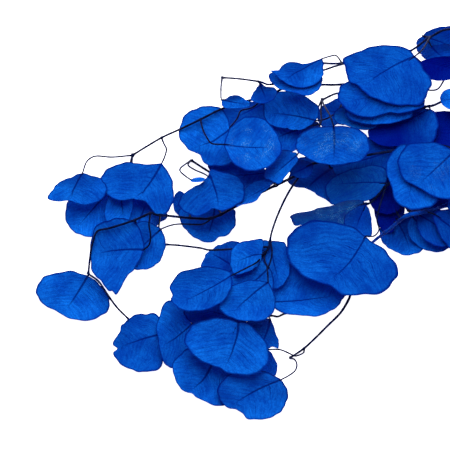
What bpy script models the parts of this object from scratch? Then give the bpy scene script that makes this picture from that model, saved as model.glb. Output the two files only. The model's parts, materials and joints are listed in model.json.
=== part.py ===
"""A dried branch of round leaves, dyed blue, lying flat on a surface.

The branch is a woody stem, cut off at its thick end, that carries eight leafy sprays. Each spray is a
thin twig with side twigs and broad, thin leaves on stalks. The stem and every spray are solids of their
own. Leaves and twigs are listed from the lowest to the highest, and each one is laid on those before it,
so their heights come from how they are stacked.

Blender Z is up. Lists give places in pixels of the reference picture, which looks straight down, and
sizes in millimetres. Objects are built in metres.
"""
import math
from dataclasses import dataclass

import bmesh
import bpy
import numpy as np

METRES = 0.001
PIXEL_MM = 0.7
PICTURE_HEIGHT = 450

BLADE_THICKNESS = 0.7
BASE_REACH_LIMITS = (0.75, 1.35)
WIDEST_REACH = 1.7
BEAK_WIDTH = 0.4
UNEVEN_EDGE = 0.02
UNEVEN_LEAN = 1.6
PHASE_STEP = 2.4
PHASE_SKEW = 1.7
RIM_STEP = 0.8
RIM_SECTORS = 4
PRESSED_REACH = 0.57
STALK_RADIUS = 0.65
STALK_TIP_RADIUS = 0.45
STALK_SINK = 0.22
STALK_FREE = (0.3, 0.85)
STALK_ROUNDS = 8
TWIG_ROUNDS = 6
CUT_END_RADIUS = 2.8
STEM_RADIUS = 1.8
TWIG_RADIUS = 1.1
THIN_RADIUS = 0.75

REST_GAP = 0.9
FLOOR_GAP = 0.05
ROOT_GAP = 0.35
ROOT_WIDTHS = 4.0
STEM_HEIGHT = 9.0

CELL = 1.5
GRID_ORIGIN = np.array([-30.0, -60.0])
GRID_CELLS = (380, 300)
AROUND = [(x, y) for x in (-1, 0, 1) for y in (-1, 0, 1)]

STEM_STEP = 24.0
TWIG_STEP = 11.0
STALK_STEP = 7.5
STEM_SIDES = 9
TWIG_SIDES = 5
STALK_SIDES = 3
LAYING_STEP = 1.5
CURVE_POINTS = 12
SHORTEST_STEP = 0.5
BLADE_RINGS = (0.55, 1.0)
SECTORS = (10, 12, 16)
SMALL_LEAF = 26.0
LARGE_LEAF = 50.0


@dataclass
class Twig:
    """A twig or stem: its route from root to end, and the twig that it grows from."""
    name: str
    node: str
    route: list
    radii: tuple
    parent: str = ""
    height: tuple = ()


@dataclass
class Leaf:
    """A leaf: blade centre, stalk end and rim in pixels, width and length in mm, turned clockwise."""
    twig: str
    centre: tuple
    base: tuple
    wide: float
    long: float
    turn: float
    dip: float = 4.0
    roll: float = 0.0
    cup: float = 2.0
    fold: float = 0.0
    wave: float = 0.9
    foot: tuple = ()
    via: tuple = ()
    pressed: bool = False
    rim: tuple = ()


LAYERS = [
    # The stem rests on its cut end.
    Twig("stem", "main_stem", [(690, 110), (620, 140), (560, 165), (500, 188), (440, 207)],
         (CUT_END_RADIUS, STEM_RADIUS), height=(CUT_END_RADIUS, STEM_HEIGHT)),

    # Leaves under the outer stretch of the stem. One is pressed flat on the surface.
    Leaf("outer", (402, 236), (395, 217), 38, 32, 20, pressed=True, rim=((395, 216), (408, 214),
         (420, 217), (427, 229), (427, 241), (424, 249), (418, 253.5), (408, 255.5), (400, 254),
         (393, 250), (387, 247), (382, 240), (380, 231), (385, 222))),
    Leaf("outer", (388, 215), (395, 222), 28, 18, 80, dip=2, rim=((395, 222), (393, 232), (384, 231),
         (378, 223), (375, 213), (376, 202), (390, 196), (403, 200), (405, 212), (402, 220))),
    Leaf("outer", (390, 192), (397, 212), 18, 30, 0, dip=1, cup=1, rim=((397, 212), (402, 204),
         (401, 186), (397, 170), (391, 164), (382, 168), (374, 184), (369, 198), (374, 209), (386, 214))),
    Leaf("outer", (432, 232), (412, 216), 35, 27, 20, wave=1),
    Leaf("outer", (440, 228), (418, 214), 34, 25, 25, wave=1),
    Leaf("outer", (466, 232), (434, 214), 40, 32, 30, foot=(425, 211)),
    Leaf("outer", (430, 200), (409, 210), 36, 12, 15, dip=1, cup=1, rim=((409, 213), (404, 205),
         (411, 198), (425, 193), (440, 190), (452, 191), (457, 196), (446, 203), (432, 208.5),
         (419, 212.5))),
    Twig("outer", "spray_low", [(440, 207), (430, 210), (418, 213), (408, 215), (400, 220), (390, 229),
                                (380, 236.5), (371, 244)], (STEM_RADIUS, TWIG_RADIUS), "stem"),

    # The low spray, down to the lower left.
    Leaf("low_side", (138, 343), (163, 334), 42, 36, 80, wave=1.2, rim=((163, 334), (162, 322),
         (157.5, 315), (152, 312.8), (145, 315), (140, 313.5), (134, 315), (129, 319), (125, 322),
         (120.6, 326), (119.5, 332.5), (114, 339), (112.5, 345), (117, 349), (113, 352.5), (113.5, 357),
         (117, 361.5), (122, 366), (129, 369.5), (136, 372), (144, 372.5), (153, 372), (159, 369),
         (162.5, 364), (163, 350))),
    Leaf("low_side", (175, 334), (192, 324), 49, 28, 95, wave=1.2, rim=((192, 324), (188, 314),
         (180, 305), (172, 300), (165, 302.5), (161, 310), (158, 320), (156, 328), (158, 340),
         (160, 352), (163, 362), (172, 369), (180, 366), (186, 355), (190, 340))),
    Leaf("low_side", (197, 379), (214, 360), 43, 35, 50, wave=1.1, rim=((214, 360), (228, 366),
         (236, 378), (234, 394), (226, 405), (217, 406), (210, 404.5), (203, 401), (197, 398),
         (191, 394), (185, 392), (180, 388.5), (177, 384), (174.5, 377), (172, 369), (174, 361),
         (184, 351), (196, 346), (207, 350))),
    Leaf("low", (262, 366), (268, 350), 24, 20, 50, foot=(304, 349), via=((304, 353), (296, 356.5),
         (290, 354), (280, 350))),
    Twig("low", "spray_low", [(371, 244), (362, 268), (352, 292), (349, 300), (341, 313), (328, 326),
                              (316, 338), (304, 349), (290, 358.5)], (TWIG_RADIUS, THIN_RADIUS), "outer"),
    Twig("low_side", "spray_low", [(352, 292), (330, 303), (300, 311), (285, 314), (278, 317), (271, 316),
                                   (255, 318), (240, 320), (215, 318), (195, 323)],
         (THIN_RADIUS, THIN_RADIUS), "low"),
    Leaf("low_side", (214, 314), (246, 322), 42, 17, 5, rim=((246, 322), (240, 330), (226, 331),
         (212, 329), (198, 326), (186, 318), (184, 309), (190, 304), (202, 304), (216, 302), (232, 306),
         (250, 311))),
    Leaf("low_side", (262, 336), (270, 320), 29, 18, 35, rim=((271, 319), (274, 327), (276.5, 335),
         (279, 341.5), (278, 348), (272, 347), (264, 350), (252, 346), (244, 336), (243, 326),
         (250, 320), (262, 317))),
    Leaf("low", (254, 397), (282, 379), 49, 32, 10, dip=5, foot=(290, 358.5), via=((295, 360),
         (297, 365), (295, 371), (288, 376)), rim=((280, 379), (284, 383), (287.5, 389), (288, 396),
         (286.5, 403), (282, 410.5), (277, 415), (270.5, 418), (262.5, 419.5), (254, 420), (247, 419),
         (242.5, 413.5), (235.5, 410), (229, 408.5), (223.5, 404.5), (218.5, 399), (217.5, 390),
         (220, 383), (226, 377), (237, 371), (250, 369), (265, 371), (273, 374.5))),
    Leaf("low_side", (227, 346), (239, 320), 62, 36, 17, dip=5, rim=((239, 321.5), (232, 319.5),
         (225, 318), (214, 318), (203, 320), (194.5, 323.5), (188.5, 329), (185, 336), (185, 343),
         (189, 350.5), (195, 356), (203, 361.5), (213, 366), (220, 367.5), (225, 371.5), (233, 374),
         (244, 375), (255, 373.5), (263, 369.5), (268, 362.5), (269.5, 354), (267.5, 346), (263.5, 338),
         (257.5, 331), (251, 325), (245, 322))),

    # Lower leaves of the two left sprays.
    Leaf("upper_left", (89, 213), (110, 189), 36, 32, -35, wave=1.2, foot=(132, 155), via=((130, 162),
         (126, 172), (120, 180)), rim=((110, 190), (112, 200), (111, 215), (106, 226), (98, 234),
         (90, 237), (81, 235.5), (73, 231.5), (67, 225), (64.5, 216), (65.5, 207), (69, 199), (78, 192),
         (90, 188), (100, 187))),
    Leaf("left", (142, 212), (137, 225), 27, 21, 0, rim=((137, 225), (129, 221), (130, 208), (133, 198),
         (145, 196), (156, 205), (167, 213), (166, 219), (160, 222), (157, 226), (148, 227))),
    Leaf("upper_left", (122, 206), (120, 189), 23, 17, 90, fold=4, foot=(132, 155), via=((131, 166),
         (125, 178)), rim=((111, 190), (121, 188), (131, 192), (133, 203), (131, 214), (127, 221),
         (111, 226), (104, 217), (106, 202))),
    Leaf("left", (150, 240), (158, 232), 21, 18, 0),
    Leaf("left", (142, 247), (161, 229), 35, 32, 60, foot=(212, 218), via=((207, 222), (200, 224.5),
         (180, 224), (170, 225.5)), rim=((161, 229), (165, 237), (165.5, 246), (163, 255), (159, 262),
         (152, 267.5), (142, 270), (133, 269), (125, 262), (120, 250), (121, 237), (128, 227),
         (138, 222), (150, 222))),
    Leaf("left", (180, 203), (190, 200), 17, 10, 90),
    Leaf("upper_left", (139, 188), (162, 163), 54, 38, 20, dip=6, foot=(162, 138), via=((164, 144),
         (166.5, 149), (165, 156)), rim=((162, 163), (168, 171), (172, 180), (174, 192), (173, 203),
         (168, 212), (161, 216), (154, 212), (148, 204), (141, 200), (131, 199), (119, 200), (107, 195),
         (100, 187), (100, 178), (105, 171), (113, 166), (124, 162.5), (138, 163), (150, 164.5))),
    Leaf("left", (208, 222), (215, 203), 42, 29, -5, wave=1, rim=((218, 204), (228, 206), (234.5, 210),
         (236, 219), (235, 226), (231, 232), (226, 236), (219.5, 237), (215.5, 241), (209, 242.5),
         (202, 241.5), (194, 237.5), (186, 230.5), (181, 223), (178, 213), (182, 207), (192, 203),
         (205, 202))),
    Leaf("left", (73, 297), (88, 275), 53, 32, 10, dip=2, rim=((88, 275.5), (92, 278.5), (98.5, 284),
         (106, 292), (109.5, 301), (108, 310), (101.5, 316), (91, 320.5), (79, 321), (68, 318.5),
         (59, 313.5), (50, 309), (41, 303), (36, 295), (36.5, 286), (42, 278), (51, 274), (61, 272),
         (72, 271), (80, 273.5))),
    Leaf("left", (115, 255), (143, 250), 55, 38, 100, fold=3, foot=(151, 213), via=((149, 225),
         (150.5, 235), (149, 245)), rim=((144, 250), (141, 258), (134, 269), (127, 277), (121, 287),
         (116, 295.5), (112, 291.5), (108, 291), (103, 284), (96, 277), (91, 269), (90, 258), (90, 245),
         (92, 234), (96, 226), (105, 221), (118, 218), (130, 219.5), (139, 227), (143, 238))),
    Leaf("upper_left", (78, 189), (83, 172), 41, 22, -9, dip=6, foot=(132, 155), via=((112, 157),
         (97, 156), (90, 158.5), (86, 163)), rim=((83, 173), (92, 175.5), (99, 177.5), (105, 183),
         (107, 190), (104, 197), (97, 202), (86, 205), (76, 203), (68, 200.5), (60, 201.5), (50, 200.5),
         (48, 196), (53, 189), (58, 183), (64, 179.5), (71, 177.5), (77, 174))),

    # The middle spray, whose twig carries the left one.
    Leaf("middle", (352, 160), (392, 150), 52, 28, 0, rim=((401, 148), (404, 158), (397, 170),
         (384, 178), (368, 182), (350, 181), (334, 178), (322, 168), (319, 158), (325, 146), (345, 141),
         (366, 137), (391, 139))),
    Leaf("middle", (316, 183), (330, 170), 31, 21, 35, rim=((333, 168), (337, 182), (338, 195),
         (333, 204), (325, 199), (318, 195.5), (312, 191), (304, 188), (296, 187), (288, 182),
         (290, 173), (297, 159), (316, 157))),
    Leaf("low_side", (311, 296), (271, 302), 52, 31, 5, foot=(269, 316), via=((268, 309),),
         rim=((270, 291), (274, 280), (283, 269), (292, 262), (306, 263), (322, 270), (338, 282),
         (345, 292), (342, 302), (335, 309), (326, 314), (314, 317), (300, 315.5), (287, 314.5),
         (279, 312), (272, 305), (269, 299))),
    Leaf("middle", (218, 258), (236, 268), 31, 24, -40, foot=(264, 254), via=((250, 262),),
         rim=((236, 268), (240, 255), (240, 243), (234, 241), (227, 242), (221, 244.5), (216, 246),
         (212, 249.5), (205.5, 254), (204, 259), (200.5, 266), (206, 275), (222, 276))),
    Leaf("middle", (277, 265), (271, 243), 35, 21, 80, rim=((271, 241), (279, 241), (285, 243),
         (288, 252), (290, 263), (289, 275), (283, 285), (276, 289), (268, 284), (260, 270), (258, 255),
         (262, 241))),
    Leaf("middle", (248, 284), (266, 270), 32, 28, -30, foot=(270, 240), via=((272, 251), (270, 263)),
         rim=((268, 266), (273, 275), (273, 288), (264, 300), (248, 303), (233, 300), (226, 290),
         (227, 276), (236, 265), (248, 256), (259, 256))),
    Twig("middle", "spray_middle", [(540, 172), (500, 158), (450, 145), (400, 150), (350, 158), (312, 164),
                                    (303, 172), (296, 181), (290, 190), (284, 201), (279, 212), (275, 222),
                                    (271, 235), (269, 247), (264, 254)], (TWIG_RADIUS, THIN_RADIUS), "stem"),
    Twig("middle_side", "spray_middle", [(269, 247), (255, 247), (240, 247), (232, 249), (210, 250),
                                         (200, 248), (180, 245.5), (166, 244.5)],
         (THIN_RADIUS, THIN_RADIUS), "middle"),
    Leaf("middle", (251, 259), (265, 253), 32, 27, -25, wave=1, rim=((262, 251), (263.5, 245),
         (263, 239.5), (257, 239), (248, 240.5), (241, 242), (236, 244), (231.5, 250), (230, 258),
         (230.5, 267), (234, 274), (244, 273), (256, 267), (261, 259))),

    # The left spray and its side twig.
    Twig("left", "spray_left", [(303, 172), (285, 181), (262, 192), (242, 203), (233, 208), (212, 218),
                                (190, 218), (170, 216), (155, 214.5), (151, 213), (132, 221), (110, 228),
                                (97, 231.5), (92, 245), (90, 256), (88, 274)],
         (TWIG_RADIUS, THIN_RADIUS), "middle"),
    Twig("left_end", "spray_left", [(88, 274), (98, 281), (105, 291), (111, 300), (118, 309), (128, 319)],
         (THIN_RADIUS, THIN_RADIUS), "left"),
    Twig("left_side", "spray_left", [(245, 201), (232, 190), (220, 178), (208, 171), (191, 160)],
         (TWIG_RADIUS, THIN_RADIUS), "left"),
    Leaf("middle", (300, 169), (312, 164), 17, 13, 20),
    Leaf("upper_left", (250, 110), (262, 104), 24, 14, 0, rim=((264, 103), (269, 110), (269, 121),
         (258, 122), (248, 124), (236, 126), (228, 128), (222, 117), (223, 107), (236, 104), (250, 101))),
    Leaf("upper_middle", (338, 111), (350, 112), 20, 18, 0, rim=((350, 112), (351, 119), (345, 124.5),
         (338, 124), (333, 127), (325, 128), (319, 122), (318, 113), (323, 105), (331, 101.5), (337, 98),
         (345, 101))),
    Leaf("upper_middle", (287, 136), (308, 128), 28, 22, 0, foot=(322, 99.5), via=((316, 112),),
         rim=((318, 122), (321, 130), (310, 137), (300, 147), (290, 152), (279, 149), (273, 140),
         (268, 127), (272, 117), (290, 115), (305, 117))),
    Leaf("left", (243, 173), (270, 172), 42, 18, 5, rim=((272, 172), (275, 180), (262, 189), (246, 190),
         (230, 182), (216, 178), (209, 170), (209, 160), (215, 152), (235, 158), (255, 165))),
    Leaf("left", (257, 191), (275, 183), 28, 17, -30, fold=2, rim=((276, 182), (272, 185), (266, 190),
         (262, 193), (257, 200), (250, 203.5), (243, 204.5), (236, 207), (238, 198), (244, 190),
         (250, 184), (260, 180), (270, 179))),
    Leaf("left_side", (211, 193), (208, 176), 48, 30, -8, dip=6, foot=(191, 160), via=((188, 165),
         (195, 170), (202, 173)), rim=((208, 177), (211, 169), (219, 171), (227, 173), (238, 176),
         (243.5, 184), (245, 192), (242.5, 201), (232, 207.5), (222, 210.5), (212, 209), (206, 213),
         (196, 216.5), (188, 214), (180.5, 208), (178, 203), (182, 196), (190, 189), (200, 184))),
    Leaf("left_side", (198, 180), (191, 180), 10.5, 3.5, -5, dip=0, cup=0.3, wave=0, foot=(191, 160),
         via=((180, 169), (184, 175))),
    Leaf("middle", (250, 301), (268, 282), 36, 28, 0, foot=(264, 254), via=((265, 262), (267, 267)),
         rim=((268, 282), (272, 288), (275, 297), (275.5, 304), (273.5, 311), (268, 317.5), (260, 320.5),
         (250, 321), (240, 320), (231, 317.5), (223, 312.5), (218, 306), (221, 297), (228, 288),
         (238, 283), (248, 280), (259, 280))),
    Leaf("middle", (201, 289), (232, 275), 45, 29, -12, dip=4, foot=(264, 254), via=((257, 262),
         (248, 267), (240, 271)), rim=((231.5, 272.5), (232.5, 281), (231, 289), (227.5, 296),
         (221, 302.5), (213, 307), (203, 310), (191, 311), (181, 309), (174.5, 305), (171, 299),
         (172.5, 295), (170, 290.5), (170.5, 285), (173.5, 279.5), (178, 273.5), (185, 270.5),
         (193, 268.5), (202, 266.5), (215, 267), (224, 269))),

    # The upper middle spray.
    Leaf("upper_middle", (283, 167), (296, 156), 27, 13, -50, fold=2, foot=(322, 99.5), via=((321, 110),
         (319, 127)), rim=((296, 153), (298, 160), (293, 167), (286, 176), (279, 184), (271, 181),
         (264, 177.5), (266, 168), (274, 158), (283, 150))),
    Leaf("right", (449, 128), (460, 143), 26, 24, 0, rim=((460, 143), (466, 132), (464, 118), (455, 112),
         (444, 111), (432, 113), (429, 126), (429, 139), (436, 149), (450, 151))),
    Leaf("upper_middle", (403, 127), (430, 109), 49, 28, -8, rim=((430, 109), (436, 114), (438, 123),
         (437, 132), (434, 140), (427, 146), (412, 147), (398, 146.5), (383, 145.5), (373, 141.5),
         (368, 134), (370, 127), (384, 121), (400, 114), (416, 108))),
    Leaf("upper_middle", (291, 118), (319, 121), 42, 38, 30, fold=1.5, foot=(343, 96), via=((340, 108),
         (330, 117)), rim=((319, 117), (319, 108), (311, 100), (301, 93.5), (290, 91), (280, 92),
         (271, 96), (264.5, 103), (263, 112), (266, 120), (273, 126), (285, 128), (297, 130),
         (308, 127))),
    Leaf("upper_middle", (535, 140), (528, 117), 38, 30, 10),
    Twig("upper_middle", "spray_upper_middle", [(590, 152), (545, 125), (500, 106), (450, 98.5), (443, 101),
                                                (433, 105.5), (424, 107), (390, 112), (360, 108), (343, 96),
                                                (337, 93), (322, 99.5)],
         (TWIG_RADIUS, THIN_RADIUS), "stem"),
    Leaf("upper_middle", (360, 118), (378, 108), 29, 17, 5, rim=((378, 108), (382, 118), (378, 126),
         (368, 130), (357, 129), (346, 125.5), (336, 122), (333, 115), (341, 107), (360, 105))),

    # The upper left spray, the longest.
    Leaf("upper_left", (208, 138), (228, 130), 46, 39, 70, dip=4, foot=(262, 100), via=((252, 108),
         (241, 111), (237, 119)), rim=((230, 130), (228, 118), (220, 108), (210, 106), (200, 107.5),
         (191, 110.5), (184.5, 116), (181, 122.5), (179, 131), (179.5, 138), (183, 144), (189, 150),
         (196, 153), (200.5, 156.5), (204, 162.5), (210, 166), (219, 166), (230, 164.5), (239, 156),
         (236, 142))),
    Leaf("upper_middle", (332, 147), (333, 127), 53, 27, 3, dip=6, foot=(322, 99.5), via=((325, 107),
         (330, 117)), rim=((334, 126.5), (345, 127), (357, 129), (365, 135.5), (369, 144), (368, 153),
         (362, 160), (352, 163), (338, 165), (323, 164.5), (310, 160), (298, 152.5), (294.5, 145),
         (299, 135.5), (306, 130.5), (318, 127.5))),
    Twig("upper_left", "spray_upper_left", [(615, 142), (565, 110), (510, 85), (450, 74), (400, 78),
                                            (343, 84.5), (321, 85), (300, 87), (283, 89), (265, 98),
                                            (250, 100.5), (240, 103), (220, 110), (200, 120), (180, 129.5),
                                            (163, 137), (147, 146), (132, 155)],
         (TWIG_RADIUS, THIN_RADIUS), "stem"),
    Leaf("upper_left", (253, 144), (224, 145), 41, 37, 20, foot=(201, 120), via=((203, 130), (207, 138),
         (212, 144)), rim=((224, 145), (227, 134), (232.5, 126), (240, 120), (250, 117), (260, 118),
         (268, 123), (274, 130), (278.5, 138), (281.5, 146), (280, 155), (274, 163), (263, 169.5),
         (251, 171), (240, 168.5), (231, 161), (226, 152))),
    Leaf("upper_left", (530, 72), (520, 89), 36, 28, -10),

    # The spray with the broadest leaf.
    Leaf("broad", (357, 186), (386, 183), 45, 28, -25, rim=((386, 183), (383, 190), (376, 196),
         (366, 201), (352, 203), (338, 204), (331, 204), (327, 196), (325, 186), (334, 177), (346, 171),
         (360, 167.5), (375, 165), (385, 168), (388, 176))),
    Leaf("broad", (330, 213), (366, 203), 57, 18, -12, roll=6, rim=((365, 201), (362, 210), (355, 220),
         (345, 226), (330, 228), (312, 227), (302, 225), (296, 226), (291.5, 221), (290.5, 216.5),
         (296, 213), (309, 211), (320, 207.5), (332, 205.5), (343, 201.5), (354, 200))),
    Leaf("broad", (478, 200), (470, 180), 44, 34, 0),
    Twig("broad", "spray_broad", [(515, 182), (480, 178), (440, 179), (400, 181), (388, 184), (378, 195),
                                  (370, 203), (364, 204)], (TWIG_RADIUS, THIN_RADIUS), "stem"),
    Leaf("broad", (361, 219), (366, 204), 17, 23, 0, fold=2, rim=((366, 204), (370, 212), (372, 225),
         (371, 237), (362, 235), (347, 229), (344, 217), (355, 208))),
    Leaf("broad", (341, 260), (366, 236), 81, 49, 17, dip=6, cup=2.5, foot=(385, 188), via=((377, 217),
         (379, 229), (374, 236)), rim=((366, 236), (371, 241), (378, 245), (384, 249.5), (390, 256),
         (396, 263), (398, 270), (396, 278), (391, 285.5), (384, 291.5), (375, 294.5), (363, 295),
         (350, 295.3), (342, 294.5), (336, 290), (329, 286), (320, 282.5), (309, 278.5), (300, 274),
         (294, 267.5), (289, 260), (286, 251), (286.5, 242), (291, 233), (298, 226), (309, 221.5),
         (322, 220.5), (337, 222.5), (352, 227))),

    # The right spray.
    Twig("right", "spray_right", [(560, 165), (530, 150), (490, 146), (458, 150)],
         (TWIG_RADIUS, THIN_RADIUS), "stem"),
    Leaf("right", (505, 166), (495, 147), 40, 32, -10),
    Leaf("right", (413, 177), (420, 145), 46, 38, 75, foot=(458, 150), via=((440, 145),),
         rim=((420, 145), (408, 144), (398, 146), (391, 153), (386, 163), (386, 173), (390, 183),
         (392, 192), (395, 200), (401, 206), (409, 209), (418, 209.5), (428, 207.5), (436, 203),
         (440, 197), (445, 185), (440, 165), (430, 150))),
    Leaf("right", (433, 170), (455, 150), 52, 36, 15, dip=4, rim=((456, 150), (450, 149), (441, 144.5),
         (431, 142.5), (420, 142.5), (409, 144), (401.5, 150.5), (397.5, 160), (398, 169), (402, 177),
         (408, 183), (417, 187), (425, 191.5), (431, 196), (441, 198.5), (451, 199), (460, 196),
         (468, 182), (466, 164))),

    # The top spray, over all the others.
    Leaf("top_side", (262, 93), (259, 83), 18, 14, -20, rim=((260, 83), (266, 87), (274, 88), (277, 94),
         (272, 101), (262, 104), (251, 101), (252, 95), (256, 89))),
    Leaf("top", (440, 42), (423, 35), 35, 24, -15, foot=(430, 37), rim=((422, 36), (427, 31.5),
         (435, 27.5), (445, 25.8), (458, 25), (468, 32), (468, 46), (455, 55), (440, 57), (426, 55),
         (418, 51), (417, 45), (418, 39))),
    Leaf("top", (440, 52), (432, 46), 25, 11, -10),
    Leaf("top", (560, 58), (548, 68), 44, 34, -20),
    Twig("top", "spray_top", [(640, 131), (590, 95), (530, 58), (480, 35), (450, 29), (432, 36), (415, 48),
                              (408, 51), (380, 57), (342, 62.5), (323, 62.5)],
         (TWIG_RADIUS, THIN_RADIUS), "stem"),
    Twig("top_side", "spray_top", [(360, 60), (342, 64), (324, 70), (300, 78), (271, 85), (260, 82.5),
                                   (240, 79), (222, 77)], (THIN_RADIUS, THIN_RADIUS), "top"),
    Leaf("top_side", (236, 102), (221, 100), 21, 10, -5, foot=(222, 77), via=((221, 88),),
         rim=((221, 99), (225, 99.5), (229, 97), (235, 95.5), (241, 97), (246, 100.5), (250, 103),
         (249, 107), (240, 108.5), (228, 109), (222.5, 107))),
    Leaf("upper_left", (296, 83), (318, 80), 35, 17, 0, rim=((322, 78), (321, 86), (315.5, 93),
         (306, 96.5), (292, 93), (280, 90), (271, 83), (269.5, 74), (290, 72), (310, 73))),
    Leaf("top", (298, 75), (321, 60), 38, 20, -8, foot=(342, 62.5), via=((336, 56), (330, 57)),
         rim=((322, 59), (323, 70), (321.5, 79), (313, 86), (303, 88.5), (292, 87), (281, 81), (274, 75),
         (269.5, 70.5), (277.5, 71.5), (282, 66), (290, 63), (298, 63.5), (303, 65), (311, 63))),
    Leaf("top", (500, 14), (492, 38), 46, 36, 10, dip=5),
    Leaf("upper_middle", (452, 99), (462, 97), 17, 15, 0),
    Leaf("upper_middle", (382, 108), (410, 100), 49, 24, -3, foot=(424, 107), rim=((410, 100),
         (414, 107), (413, 114), (409, 118.5), (399, 121.5), (387, 124), (372, 124.5), (358, 123),
         (350, 119.5), (345, 114), (346, 106), (355, 99), (375, 94), (395, 94))),
    Leaf("upper_left", (380, 99), (420, 90), 60, 28, 5, dip=4, foot=(450, 74), via=((444, 80),
         (436, 90)), rim=((420, 90), (424, 97), (423, 106), (415, 110.5), (405, 112.5), (398, 113.5),
         (388, 113), (380, 115), (371, 117.5), (361, 117), (350, 112.5), (342, 106.5), (337.5, 99),
         (338, 91), (342, 85), (350, 81), (365, 79), (385, 80), (405, 83))),
    Leaf("top", (442, 69), (420, 62), 34, 17, -5, foot=(408, 51)),
    Leaf("top", (387, 76), (414, 57), 62, 41, 12, dip=5, foot=(430, 37), via=((422, 50),),
         rim=((414, 57), (418, 62), (423, 70), (429, 77), (430.5, 84), (428, 92), (424, 100), (419, 105),
         (408, 106), (397, 105.5), (386, 103), (375, 99.5), (367, 95), (360, 89), (354, 84.5),
         (349, 82.5), (346, 75), (344, 68), (342.5, 60.5), (349, 55.5), (359, 51.5), (370, 48),
         (379, 46), (388, 45.8), (399, 47.5), (409, 50.5))),
]


def place(pixel):
    """Turns a place in the picture into millimetres, with Y up."""
    return np.array([pixel[0] * PIXEL_MM, (PICTURE_HEIGHT - pixel[1]) * PIXEL_MM])


def smooth_route(points, step):
    """Reads points at even steps from a smooth curve through the given ones."""
    points = np.array(points, float)
    ends = np.vstack([2 * points[0] - points[1], points, 2 * points[-1] - points[-2]])
    fine = []
    for i in range(1, len(ends) - 2):
        before, start, stop, after = ends[i - 1:i + 3]
        for t in np.linspace(0, 1, CURVE_POINTS, endpoint=False):
            fine.append(0.5 * (2 * start + (stop - before) * t
                               + (2 * before - 5 * start + 4 * stop - after) * t ** 2
                               + (3 * start - before - 3 * stop + after) * t ** 3))
    fine.append(points[-1])
    fine = np.array(fine)
    along = np.concatenate([[0], np.cumsum(np.linalg.norm(np.diff(fine, axis=0), axis=1))])
    count = max(2, int(round(along[-1] / step)) + 1)
    marks = np.linspace(0, along[-1], count)
    return np.column_stack([np.interp(marks, along, fine[:, k]) for k in range(fine.shape[1])])


def lengths_along(points):
    """Gives the distance of each point from the first one, along the route in plan."""
    steps = np.linalg.norm(np.diff(points[:, :2], axis=0), axis=1)
    return np.concatenate([[0], np.cumsum(steps)])


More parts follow.
